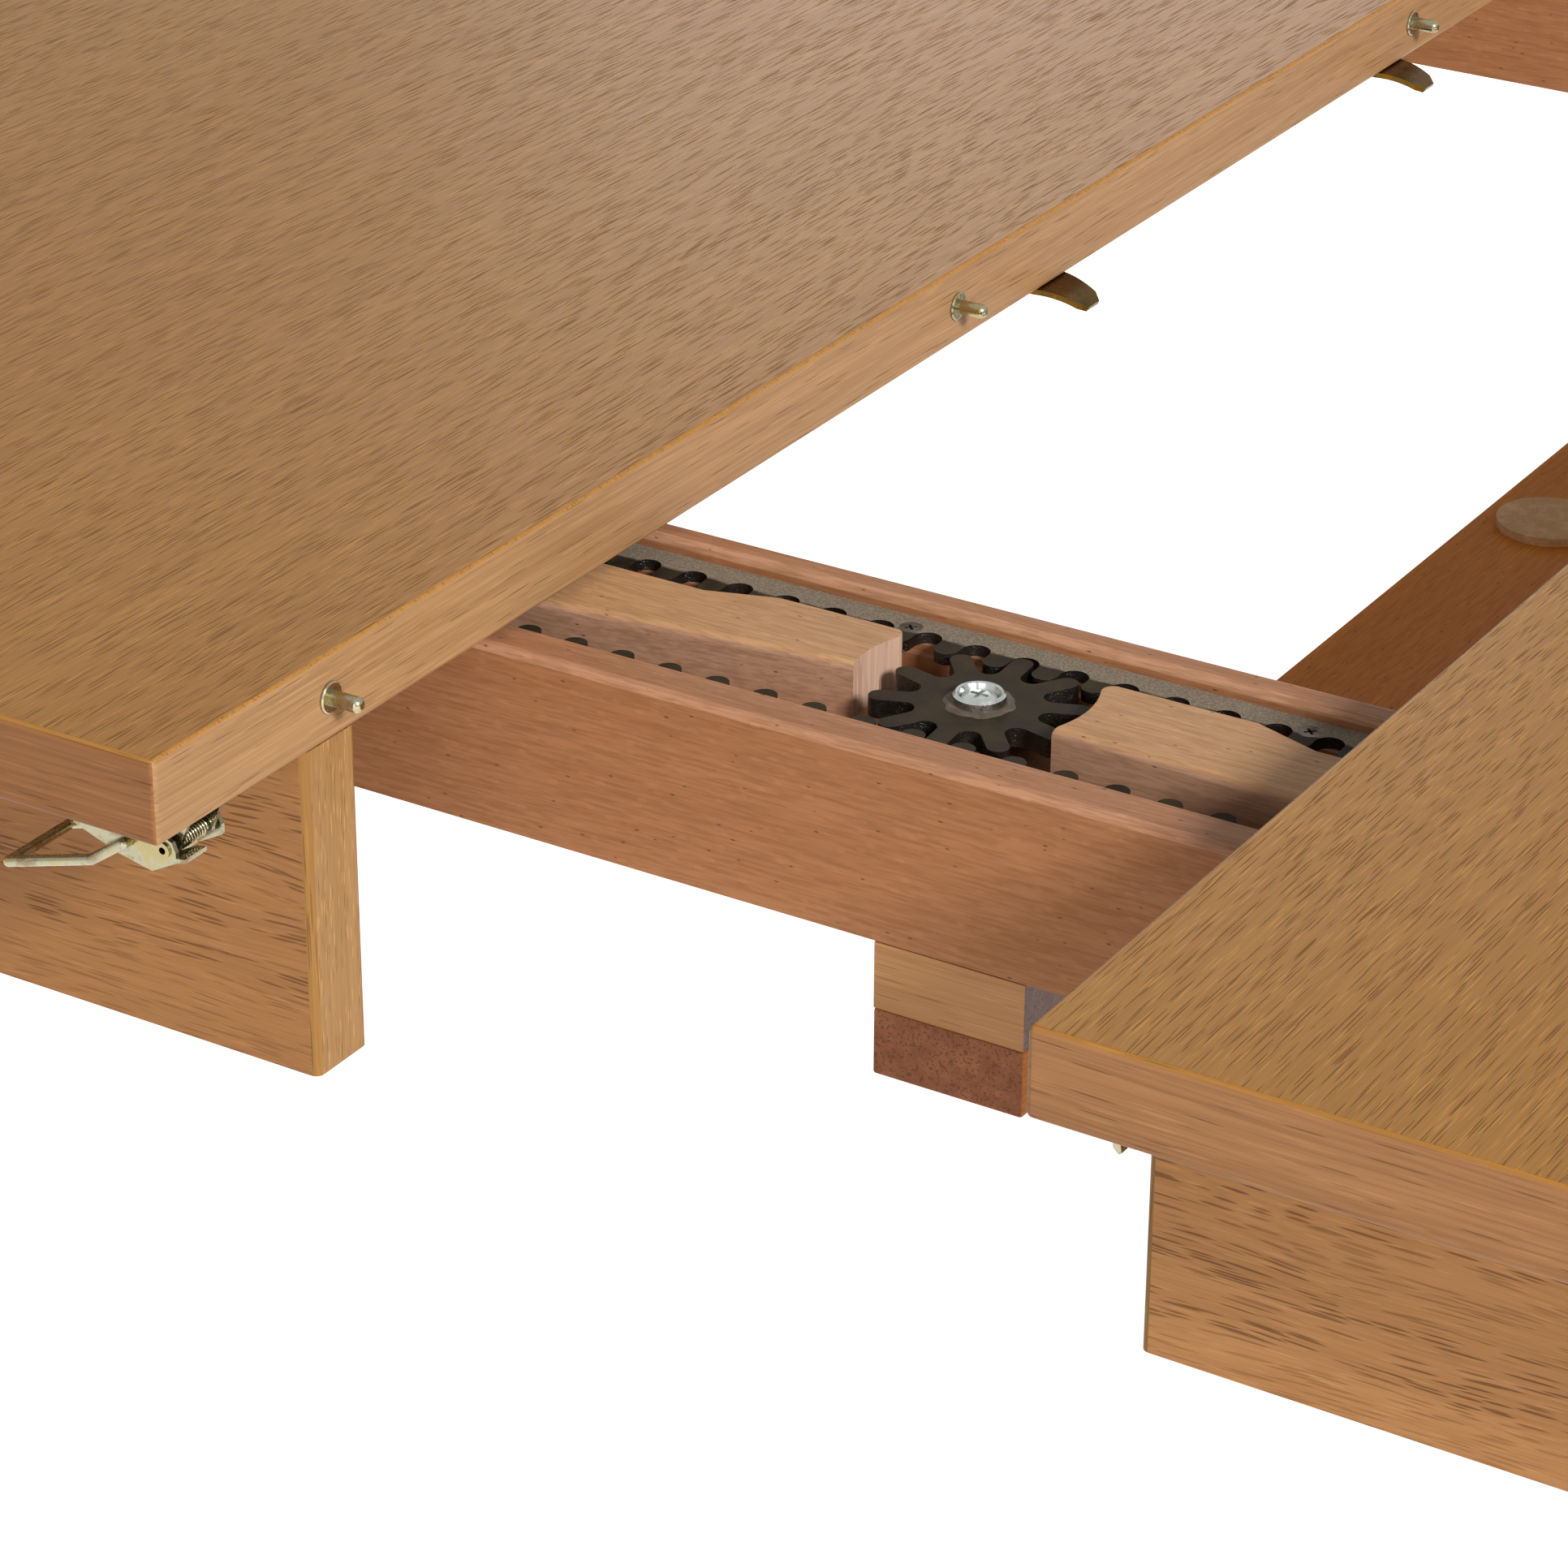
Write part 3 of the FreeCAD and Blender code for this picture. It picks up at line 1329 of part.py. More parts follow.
def spring_shape():
    """A coil around the rivet between the bracket's ears."""
    radius = size("spring_radius")
    length = size("spring_turns") * size("spring_pitch")
    helix = Part.makeHelix(size("spring_pitch"), length, radius)
    start = FreeCAD.Vector(radius, 0, 0)
    circle = Part.makeCircle(size("spring_wire"), start, FreeCAD.Vector(0, 1, 0))
    coil = Part.Wire(helix.Edges).makePipeShell([Part.Wire([circle])], True, True)
    middle = FreeCAD.Vector(RIVET_X, -length / 2, RIVET_Z)
    return coil.transformed(FreeCAD.Placement(middle, TURNS["y"]).toMatrix())


def keeper_shape():
    """A hooked plate under the right top: a lip that slants down and back."""
    metal = size("latch_metal")
    lip = size("keeper_setback")
    end = lip + size("keeper_plate")
    drop = -size("keeper_drop")
    return profile_plate([
        (lip - 2 * metal, 0),
        (end, 0),
        (end, -metal),
        (lip, -metal),
        (lip + 1.3 * metal, drop + metal / 3),
        (lip + 0.8 * metal, drop),
        (lip - metal / 3, drop + metal),
        (lip - 2 * metal, -metal),
    ], size("keeper_width"))


def both_rows(name, shape, half="left"):
    """The same piece at both long edges."""
    return spread(name, shape, [latch_point(row, half) for row in ROWS])


brackets = both_rows("bracket_pair", bracket_shape())
node("latch_brackets", cut("brackets_drilled", brackets, HARDWARE_SCREWS["left"][1]))
node("latch_rivets", both_rows("rivet_pair", rivet_shape()))
node("latch_springs", both_rows("spring_pair", spring_shape()))
keepers = both_rows("keeper_pair", keeper_shape(), "right")
node("latch_keepers", cut("keepers_drilled", keepers, HARDWARE_SCREWS["right"][1]))
for row in ROWS:
    spot = [latch_point(row)]
    node(row + "_latch_lever", spread(row + "_lever", lever_shape(), spot))
    node(row + "_latch_bail", spread(row + "_bail", bail_shape(), spot))

# ---------------------------------------------------------------- checks and export
doc.recompute()
for thing in doc.Objects:
    if "Invalid" in thing.State or "Error" in thing.State:
        raise RuntimeError("%s did not build: %s" % (thing.Label, thing.State))
for label, thing in NODES.items():
    if thing.Shape.isNull() or not thing.Shape.isValid():
        raise RuntimeError(label + " has no valid shape")
    thing.Shape.exportStep("parts/%s.step" % label)
    print(label, len(thing.Shape.Solids), round(thing.Shape.Volume, 1))
print(len(NODES), "nodes")
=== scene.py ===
import json
import math

import bmesh
import bpy
from mathutils import Matrix, Vector

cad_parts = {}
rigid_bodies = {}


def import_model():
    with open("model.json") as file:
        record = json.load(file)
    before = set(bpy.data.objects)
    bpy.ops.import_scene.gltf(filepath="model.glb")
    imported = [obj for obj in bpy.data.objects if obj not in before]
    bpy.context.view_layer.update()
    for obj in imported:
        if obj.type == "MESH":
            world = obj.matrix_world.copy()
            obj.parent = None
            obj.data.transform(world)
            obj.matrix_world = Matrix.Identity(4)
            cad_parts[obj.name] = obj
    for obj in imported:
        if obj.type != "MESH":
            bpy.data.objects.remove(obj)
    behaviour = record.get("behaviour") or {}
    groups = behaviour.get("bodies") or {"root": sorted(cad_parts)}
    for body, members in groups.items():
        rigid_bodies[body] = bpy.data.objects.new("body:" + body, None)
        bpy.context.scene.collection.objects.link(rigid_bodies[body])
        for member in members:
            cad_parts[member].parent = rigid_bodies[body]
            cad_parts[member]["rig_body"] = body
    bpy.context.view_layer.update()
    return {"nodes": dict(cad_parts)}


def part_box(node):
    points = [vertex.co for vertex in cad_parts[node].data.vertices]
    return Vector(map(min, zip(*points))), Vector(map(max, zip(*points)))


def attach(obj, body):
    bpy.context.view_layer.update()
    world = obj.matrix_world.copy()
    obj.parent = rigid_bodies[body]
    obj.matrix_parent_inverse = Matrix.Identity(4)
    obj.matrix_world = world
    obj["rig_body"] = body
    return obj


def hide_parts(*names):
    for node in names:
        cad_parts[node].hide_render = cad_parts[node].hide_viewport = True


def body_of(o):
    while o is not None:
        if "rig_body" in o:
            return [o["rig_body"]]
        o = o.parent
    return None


# Looks of the draw leaf table, in metres: +X along the draw, +Y across the table, +Z up.
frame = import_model()
scene = bpy.context.scene
nodes = frame["nodes"]


# ---------------------------------------------------------------- camera
CAMERA_PLACE = (0.5247, -1.2674, 1.2454)
AZIMUTH = math.radians(31.58)
ELEVATION = math.radians(26.89)
ROLL = math.radians(0.22)
FOCAL_MM = 115.27
SENSOR_MM = 36
CLIP_START = 0.05


def make_camera():
    """The camera at the photograph's angle."""
    forward = Vector((-math.sin(AZIMUTH) * math.cos(ELEVATION),
                      math.cos(AZIMUTH) * math.cos(ELEVATION), -math.sin(ELEVATION)))
    right = Vector((math.cos(AZIMUTH), math.sin(AZIMUTH), 0))
    up = right.cross(forward)
    turned_right = math.cos(ROLL) * right + math.sin(ROLL) * up
    turned_up = math.cos(ROLL) * up - math.sin(ROLL) * right
    data = bpy.data.cameras.new("camera")
    data.lens = FOCAL_MM
    data.sensor_width = SENSOR_MM
    data.clip_start = CLIP_START
    camera = bpy.data.objects.new("camera", data)
    scene.collection.objects.link(camera)
    turn = Matrix((turned_right, turned_up, -forward)).transposed()
    camera.matrix_world = Matrix.Translation(CAMERA_PLACE) @ turn.to_4x4()
    scene.camera = camera


# ---------------------------------------------------------------- shader building
class Graph:
    """A node material, built up call by call."""

    def __init__(self, name):
        self.material = bpy.data.materials.new(name)
        self.material.use_nodes = True
        self.tree = self.material.node_tree
        self.tree.nodes.clear()
        self.place = self.add("ShaderNodeTexCoord").outputs["Object"]

    def add(self, kind, inputs=None, **settings):
        node = self.tree.nodes.new(kind)
        for key, value in settings.items():
            setattr(node, key, value)
        for key, value in (inputs or {}).items():
            self.put(node.inputs[key], value)
        return node

    def put(self, socket, value):
        if isinstance(value, bpy.types.NodeSocket):
            self.tree.links.new(value, socket)
        else:
            socket.default_value = value

    def math(self, operation, first, second=0.0, clamp=False):
        node = self.add("ShaderNodeMath", {0: first, 1: second}, operation=operation,
                        use_clamp=clamp)
        return node.outputs[0]

    def scaled(self, vector, scale, offset=(0, 0, 0)):
        node = self.add("ShaderNodeMapping",
                        {"Vector": vector, "Scale": scale, "Location": offset})
        return node.outputs["Vector"]

    def noise(self, vector, scale=1.0, detail=2.0, rough=0.5, distortion=0.0, colour=False):
        """Noise of a scale per metre: a grey value, or a colour for three values at once."""
        node = self.add("ShaderNodeTexNoise",
                        {"Vector": vector, "Scale": scale, "Detail": detail,
                         "Roughness": rough, "Distortion": distortion})
        return node.outputs["Color" if colour else "Fac"]

    def ramp(self, factor, low, high, start=0.0, end=1.0):
        """A smooth step from start to end, while the factor goes from low to high."""
        node = self.add("ShaderNodeMapRange",
                        {"Value": factor, "From Min": low, "From Max": high,
                         "To Min": start, "To Max": end}, interpolation_type="SMOOTHSTEP")
        return node.outputs["Result"]

    def mix(self, factor, first, second):
        """The first colour, with the second over it as far as the factor goes."""
        node = self.add("ShaderNodeMix", data_type="RGBA")
        self.put(node.inputs["Factor"], factor)
        self.put(node.inputs["A"], tinted(first))
        self.put(node.inputs["B"], tinted(second))
        return node.outputs["Result"]

    def bump(self, height, distance):
        inputs = {"Height": height, "Distance": distance, "Strength": 1.0}
        return self.add("ShaderNodeBump", inputs).outputs["Normal"]

    def sum(self, first, second):
        """The sum of two vectors."""
        node = self.add("ShaderNodeVectorMath", {0: first, 1: second}, operation="ADD")
        return node.outputs["Vector"]

    def finish(self, **inputs):
        """The material with its surface shader, whose inputs are given with _ for spaces."""
        surface = self.add("ShaderNodeBsdfPrincipled")
        for key, value in inputs.items():
            self.put(surface.inputs[key.replace("_", " ")], tinted(value))
        output = self.add("ShaderNodeOutputMaterial")
        self.tree.links.new(surface.outputs[0], output.inputs["Surface"])
        return self.material


def tinted(value):
    """A three-part colour with its fourth part added."""
    if isinstance(value, (tuple, list)) and len(value) == 3:
        return tuple(value) + (1.0,)
    return value


def shade(colour, factor):
    return tuple(channel * factor for channel in colour)


# ---------------------------------------------------------------- wood
AXES = {"x": 0, "y": 1, "z": 2}
# Cells of the wood patterns per metre, along the grain and across it.
BROAD_BANDS = (0.9, 14.0)
NARROW_BANDS = (2.0, 160.0)
FIBRES_ACROSS = 1300.0
FIGURE_ALONG = 1.6
# The grain wanders by this much over this length, before the ripples of one wood.
WANDER_LENGTH = 0.7
WANDER = 0.012
GLINT_SIZE = 0.28
# Growth lines on end grain, per metre along X, Y and Z.
GROWTH_LINES = (90.0, 90.0, 330.0)


def along(axis, lengthwise, crosswise):
    """A scale with one value along the grain and another across it."""
    scale = [crosswise] * 3
    scale[AXES[axis]] = lengthwise
    return tuple(scale)


def shifted(seed):
    """The offset that gives each wood another stretch of the same patterns."""
    return (seed * 3.1, seed * 1.7, seed * 2.3)


def streaks(graph, place, axis, length, spacing, seed, size):
    """Thin lens-shaped dashes along the grain, one in each cell of a length and a spacing."""
    place = graph.scaled(place, along(axis, 1.0 / length, 1.0 / spacing), shifted(seed))
    cells = graph.add("ShaderNodeTexVoronoi", {"Vector": place, "Scale": 1.0})
    return graph.ramp(cells.outputs["Distance"], size, size * 0.6)


def wavy(graph, axis, seed, wave, wave_length):
    """The place on the surface, pushed sideways so that the grain wanders and ripples."""
    place = graph.place
    for length, push in ((WANDER_LENGTH, WANDER), (wave_length, wave)):
        stretch = along(axis, 1.0 / length, 4.0 / length)
        drift = graph.noise(graph.scaled(graph.place, stretch, (seed, seed * 0.7, seed * 1.9)),
                            detail=1, colour=True)
        drift = graph.sum(drift, (-0.5, -0.5, -0.5))
        place = graph.sum(place, graph.scaled(drift, along(axis, 0.0, 2.0 * push)))
    return place


def wood(name, axis, colour, pale, dark, seed=0.0, bands=0.5, fibre=0.35, fibre_length=0.06,
         pore_size=0.3, pore_dark=0.5, pore_length=0.03, pore_spacing=0.0009, glints=0.25,
         figure=0.0, figure_width=0.012, wave=0.0, wave_length=0.09, rough=0.45,
         relief=0.00006, gloss_level=0.2):
    """Wood with its grain along one axis: tone bands, growth figure, fibres, pores, glints.

    Lengths, widths and spacings are in metres, and the rest are strengths from 0 to 1."""
    graph = Graph(name)
    place = wavy(graph, axis, seed, wave, wave_length)
    offset = shifted(seed)
    broad = graph.noise(graph.scaled(place, along(axis, *BROAD_BANDS), offset),
                        detail=3, rough=0.6)
    narrow = graph.noise(graph.scaled(place, along(axis, *NARROW_BANDS), offset),
                         detail=2, rough=0.6)
    tone = graph.mix(graph.ramp(broad, 0.3, 0.7, 0.0, bands), colour, pale)
    tone = graph.mix(graph.ramp(narrow, 0.35, 0.75, 0.0, bands * 0.35), tone, dark)
    tone = graph.mix(graph.ramp(narrow, 0.5, 0.25, 0.0, bands * 0.5), tone, shade(pale, 1.12))

    if figure:
        width = along(axis, FIGURE_ALONG, 0.5 / figure_width)
        rings = graph.noise(graph.scaled(place, width, offset), detail=0.5)
        rings = graph.math("PINGPONG", graph.math("MULTIPLY", rings, 6.0), 1.0)
        late = graph.ramp(rings, 0.25, 0.95)
        tone = graph.mix(graph.math("MULTIPLY", late, figure), tone, dark)

    threads = along(axis, 1.0 / fibre_length, FIBRES_ACROSS)
    threads = graph.noise(graph.scaled(place, threads, offset), detail=2, rough=0.7)
    tone = graph.mix(graph.ramp(threads, 0.35, 0.7, 0.0, fibre), tone, shade(dark, 0.8))

    pores = streaks(graph, place, axis, pore_length, pore_spacing, seed, pore_size)
    if figure:
        pores = graph.math("MULTIPLY", pores, graph.ramp(late, 0.0, 0.6, 0.5, 1.0))
    tone = graph.mix(graph.math("MULTIPLY", pores, pore_dark), tone, shade(dark, 0.45))

    rays = streaks(graph, place, axis, pore_length * 0.8, pore_spacing * 1.1, seed + 4.4,
                   GLINT_SIZE)
    tone = graph.mix(graph.math("MULTIPLY", rays, glints), tone, shade(pale, 1.5))

    height = graph.math("SUBTRACT", graph.math("MULTIPLY", threads, -0.25), pores)
    gloss = graph.math("ADD", graph.math("MULTIPLY", threads, 0.12), rough - 0.05)
    gloss = graph.math("ADD", gloss, graph.math("MULTIPLY", pores, 0.2), clamp=True)
    return graph.finish(Base_Color=tone, Roughness=gloss, Normal=graph.bump(height, relief),
                        Specular_IOR_Level=gloss_level)


def end_grain(name, colour, dark, seed):
    """Wood cut across its grain: mottled, with faint growth lines and open pores."""
    graph = Graph(name)
    offset = (seed * 2.0, seed * 1.3, seed * 0.7)
    place = graph.scaled(graph.place, (1, 1, 1), offset)
    rings = graph.noise(graph.scaled(graph.place, GROWTH_LINES, offset), detail=3)
    dots = graph.ramp(graph.noise(place, 1500.0, 2.0, 0.6), 0.54, 0.66)
    patches = graph.ramp(graph.noise(place, 170.0, 4.0, 0.65), 0.35, 0.65)
    tone = graph.mix(graph.ramp(rings, 0.35, 0.65, 0.0, 0.5), colour, shade(colour, 0.72))
    tone = graph.mix(graph.math("MULTIPLY", patches, 0.6), tone, dark)
    tone = graph.mix(graph.math("MULTIPLY", dots, 0.6), tone, shade(dark, 0.55))
    return graph.finish(Base_Color=tone, Roughness=0.6, Specular_IOR_Level=0.15,
                        Normal=graph.bump(dots, 0.0001))


def chipboard(name):
    """Pressed flakes under a thin seal coat."""
    graph = Graph(name)
    flakes = graph.add("ShaderNodeTexVoronoi", {"Vector": graph.place, "Scale": 420.0})
    fine = graph.noise(graph.place, 900.0, 3.0, 0.7)
    tone = graph.mix(graph.ramp(flakes.outputs["Color"], 0.2, 0.9), (0.36, 0.23, 0.12),
                     (0.62, 0.45, 0.27))
    tone = graph.mix(graph.ramp(fine, 0.55, 0.75, 0.0, 0.6), tone, (0.2, 0.11, 0.05))
    return graph.finish(Base_Color=tone, Roughness=0.7, Normal=graph.bump(fine, 0.00012))


# ---------------------------------------------------------------- metal, plastic and felt
# Dust with a painted sheen, a paler grey-brown band, lies on a rack from this far outside the
# pinion's tips, along an uneven line.
DUST_AND_SHEEN_FROM = 0.0005
DUST_AND_SHEEN_RAGGED = 0.003
DUST_AND_SHEEN_FADE = 0.0015
DUST_AND_SHEEN_COLOURS = ((0.19, 0.15, 0.105), (0.33, 0.27, 0.2))
BARE_STEEL = (0.16, 0.13, 0.1)


def plated(name, colours, rough, grime=0.15, scratch=0.15):
    """Plated metal whose tint wanders between three colours, with scratches and grime."""
    graph = Graph(name)
    tint = graph.noise(graph.place, 140.0, 3.0, 0.6, 0.6)
    first, second, third = colours
    tone = graph.mix(graph.ramp(tint, 0.36, 0.52), first, second)
    tone = graph.mix(graph.ramp(tint, 0.52, 0.66), tone, third)
    dirt = graph.ramp(graph.noise(graph.place, 336.0, 4.0, 0.7), 0.52, 0.75)
    tone = graph.mix(graph.math("MULTIPLY", dirt, grime), tone, shade(first, 0.3))
    lines = graph.noise(graph.place, 1600.0, 3.0, 0.6)
    gloss = graph.ramp(lines, 0.3, 0.8, rough - scratch * 0.5, rough + scratch)
    gloss = graph.math("ADD", gloss, graph.math("MULTIPLY", dirt, 0.2), clamp=True)
    return graph.finish(Base_Color=tone, Metallic=1.0, Roughness=gloss,
                        Normal=graph.bump(lines, scratch * 0.00006))


def blackened(name, flat, rough, wear=0.06, relief=0.00008, gloss_level=0.04, dust_and_sheen=False):
    """Dark coated steel with a greasy, slightly uneven film, and dust with a painted sheen clear
    of the teeth.
    """
    graph = Graph(name)
    film = graph.noise(graph.place, 90.0, 5.0, 0.65)
    grain = graph.noise(graph.place, 1500.0, 3.0, 0.7)
    tone = graph.mix(graph.ramp(film, 0.35, 0.7), shade(flat, 0.65), shade(flat, 1.45))
    tone = graph.mix(graph.ramp(grain, 0.6, 0.78, 0.0, wear), tone, BARE_STEEL)
    if dust_and_sheen:
        # The paler grey-brown band on the racks: dust with a painted sheen.
        speckled = graph.mix(graph.ramp(grain, 0.35, 0.7), *DUST_AND_SHEEN_COLOURS)
        tone = graph.mix(graph.math("MULTIPLY", dust_and_sheen_mask(graph, film), 0.9), tone, speckled)
    gloss = graph.ramp(film, 0.3, 0.7, rough - 0.1, rough + 0.12)
    normal = graph.bump(graph.math("ADD", grain, graph.math("MULTIPLY", film, 3.0)), relief)
    return graph.finish(Base_Color=tone, Roughness=gloss, Normal=normal,
                        Specular_IOR_Level=gloss_level)


def dust_and_sheen_mask(graph, film):
    """1 where dust with a painted sheen lies on the racks of both rows, 0 where the pinion keeps
    them clear.
    """
    low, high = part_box("far_pinion")
    middle = (low[1] + high[1]) / 2
    reach = (high[1] - low[1]) / 2
    across = graph.add("ShaderNodeSeparateXYZ", {0: graph.place}).outputs["Y"]
    across = graph.math("SUBTRACT", graph.math("ABSOLUTE", across), middle)
    edge = graph.math("ADD", graph.math("ABSOLUTE", across),
                      graph.math("MULTIPLY", film, DUST_AND_SHEEN_RAGGED))
    return graph.ramp(edge, reach + DUST_AND_SHEEN_FROM, reach + DUST_AND_SHEEN_FROM + DUST_AND_SHEEN_FADE)


def moulded(name, colour, rough):
    """Moulded plastic with a fine skin texture and scuffs."""
    graph = Graph(name)
    skin = graph.noise(graph.place, 2600.0, 2.0)
    scuffs = graph.ramp(graph.noise(graph.scaled(graph.place, (900, 200, 500)), 1.0, 4.0, 0.7),
                        0.55, 0.75)
    tone = graph.mix(graph.math("MULTIPLY", scuffs, 0.4), colour, shade(colour, 1.7))
    gloss = graph.math("ADD", graph.math("MULTIPLY", scuffs, 0.2), rough)
    return graph.finish(Base_Color=tone, Roughness=gloss, Normal=graph.bump(skin, 0.00003))


def felted(name, colour, fleck):
    """Needle felt: matted fibres with flecks."""
    graph = Graph(name)
    mat = graph.noise(graph.place, 1900.0, 6.0, 0.75, 1.5)
    lumps = graph.noise(graph.place, 260.0, 3.0, 0.6)
    tone = graph.mix(graph.ramp(mat, 0.38, 0.66), shade(colour, 0.6), colour)
    tone = graph.mix(graph.ramp(lumps, 0.4, 0.75, 0.0, 0.6), tone, fleck)
    height = graph.math("ADD", mat, graph.math("MULTIPLY", lumps, 1.5))
    return graph.finish(Base_Color=tone, Roughness=0.95, Sheen_Weight=0.1, Sheen_Roughness=0.5,
                        Specular_IOR_Level=0.2, Normal=graph.bump(height, 0.0004))


# ---------------------------------------------------------------- materials
# Wood takes a middle, a pale and a dark colour.
VENEER = dict(colour=(0.355, 0.155, 0.021), pale=(0.395, 0.186, 0.033), dark=(0.25, 0.097, 0.01),
              pore_size=0.36, pore_dark=0.68, pore_length=0.02, pore_spacing=0.00055,
              glints=0.55, bands=0.45, fibre=0.4, rough=0.34, relief=0.00006)
VENEER_LEFT = wood("veneer_left", "y", **VENEER, seed=1.0)
VENEER_RIGHT = wood("veneer_right", "y", **VENEER, seed=5.3)
VENEER_EDGE = wood("veneer_edge", "x", (0.4, 0.18, 0.036), (0.45, 0.22, 0.05), (0.3, 0.13, 0.03),
                   seed=2.0)
LIPPING = dict(pore_size=0.2, pore_dark=0.5, pore_length=0.03, pore_spacing=0.001,
               glints=0.25, bands=1.0, fibre=0.45, wave=0.002, wave_length=0.12)
# The two halves' lippings: partly their own tone, partly painted light; the left is darkened as
# painted shade and the right lightened as painted light.
EDGE_LEFT_TONE_AND_SHADE = wood("lipping_left_tone_and_shade", "x", (0.26, 0.102, 0.03), (0.31, 0.132, 0.044),
                 (0.17, 0.063, 0.018), seed=3.1, **LIPPING)
EDGE_RIGHT_TONE_AND_LIGHT = wood("lipping_right_tone_and_light", "x", (0.31, 0.135, 0.048), (0.37, 0.175, 0.068),
                  (0.2, 0.082, 0.028), seed=3.4, **LIPPING)
EDGE_JOINT = wood("lipping_joint", "y", (0.335, 0.18, 0.074), (0.385, 0.218, 0.098),
                  (0.24, 0.115, 0.046), seed=4.2, **LIPPING)
FLAT_SAWN = dict(pore_size=0.4, pore_length=0.02, pore_spacing=0.0009, fibre=0.3,
                 wave=0.004, wave_length=0.08, bands=0.35, figure=0.18, glints=0.2,
                 relief=0.0001)
OAK = dict(colour=(0.4, 0.178, 0.058), pale=(0.45, 0.215, 0.076), dark=(0.28, 0.11, 0.03),
           pore_dark=0.7)
# The two aprons: partly their own tone and figure, partly painted light; the right is lightened
# as painted light where the overhang shades it, the left darkened as painted shade.
APRON_LEFT_TONE_AND_SHADE = wood("apron_left_tone_and_shade", "x", (0.36, 0.16, 0.05), (0.41, 0.195, 0.068),
                  (0.25, 0.098, 0.026), pore_dark=0.7, **FLAT_SAWN, seed=6.4)
APRON_RIGHT_TONE_AND_LIGHT = wood("apron_right_tone_and_light", "x", (0.49, 0.228, 0.078), (0.55, 0.275, 0.1),
                   (0.31, 0.122, 0.034), pore_dark=0.72, **FLAT_SAWN, seed=6.9)
APRON_END = wood("apron_end", "z", (0.29, 0.15, 0.047), (0.35, 0.19, 0.068),
                 (0.22, 0.105, 0.03), seed=7.5, pore_size=0.26, pore_dark=0.4,
                 pore_length=0.012, pore_spacing=0.0007, bands=0.8, glints=0.6, wave=0.002)
APRON_ARRIS = wood("apron_arris", "z", (0.28, 0.132, 0.03), (0.33, 0.165, 0.044),
                   (0.2, 0.09, 0.022), seed=7.9)
LEG = wood("leg", "z", **OAK, **FLAT_SAWN, seed=8.6)
LEG_APRON = wood("end_apron", "y", **OAK, **FLAT_SAWN, seed=9.7)
BEECH = wood("beech", "z", (0.5, 0.32, 0.19), (0.56, 0.38, 0.24), (0.4, 0.24, 0.13), seed=1.9,
             pore_size=0.2, pore_dark=0.35, rough=0.6)
PLAIN = dict(pore_length=0.008, pore_spacing=0.0026, pore_size=0.1, pore_dark=0.8, bands=0.7,
             fibre=0.5, fibre_length=0.012, glints=0.12, rough=0.55, gloss_level=0.14)
RAIL_SIDE = wood("rail_side", "x", (0.36, 0.15, 0.06), (0.41, 0.186, 0.083),
                 (0.25, 0.095, 0.034), **PLAIN, seed=2.8)
RAIL_TOP = wood("rail_top", "x", (0.38, 0.17, 0.08), (0.44, 0.22, 0.118),
                (0.28, 0.115, 0.048), **PLAIN, seed=2.8)
# The rails' rounded edges, paler than their sides: a painted highlight.
RAIL_ARRIS_HIGHLIGHT = wood("rail_arris_highlight", "x", (0.47, 0.23, 0.12), (0.55, 0.3, 0.18),
                  (0.27, 0.112, 0.048), **PLAIN, seed=2.8)
RAIL_END = end_grain("rail_end", (0.3, 0.14, 0.065), (0.17, 0.072, 0.033), 1.0)
BLOCK_TOP = wood("block_top", "x", (0.48, 0.26, 0.12), (0.55, 0.32, 0.16),
                 (0.34, 0.165, 0.07), **PLAIN, seed=4.6)
BLOCK_SIDE = wood("block_side", "x", (0.42, 0.225, 0.13), (0.5, 0.29, 0.18),
                  (0.28, 0.135, 0.072), **PLAIN, seed=5.5)
BLOCK_ARRIS = wood("block_arris", "x", (0.55, 0.35, 0.22), (0.6, 0.4, 0.27), (0.38, 0.2, 0.1),
                   **PLAIN, seed=5.9)
BLOCK_END = wood("block_end", "z", (0.44, 0.255, 0.165), (0.56, 0.38, 0.28),
                 (0.34, 0.175, 0.1), seed=2.0, pore_size=0.2, pore_dark=0.3, bands=0.8,
                 glints=0.5, rough=0.75, relief=0.0001)
CROSSBAR = wood("crossbar", "y", (0.49, 0.158, 0.015), (0.57, 0.2, 0.028),
                (0.36, 0.108, 0.011), **PLAIN, seed=6.1)
CROSSBAR_END = end_grain("crossbar_end", (0.34, 0.13, 0.058), (0.19, 0.062, 0.026), 3.0)
# The spacers' end grain, greyed to a grey-violet as painted shade.
SPACER_END_GRAIN_AND_SHADE = end_grain("spacer_end_grain_and_shade", (0.26, 0.19, 0.17), (0.17, 0.11, 0.09), 4.0)
SPACER = wood("spacer", "x", (0.45, 0.214, 0.084), (0.52, 0.27, 0.115), (0.33, 0.145, 0.05),
              seed=7.2, pore_size=0.16, pore_dark=0.4, bands=0.8, rough=0.6)
CORE = chipboard("chipboard")
YELLOW_ZINC = plated("yellow_zinc", ((0.4, 0.33, 0.16), (0.38, 0.36, 0.25), (0.28, 0.21, 0.12)),
                     rough=0.22, grime=0.06)
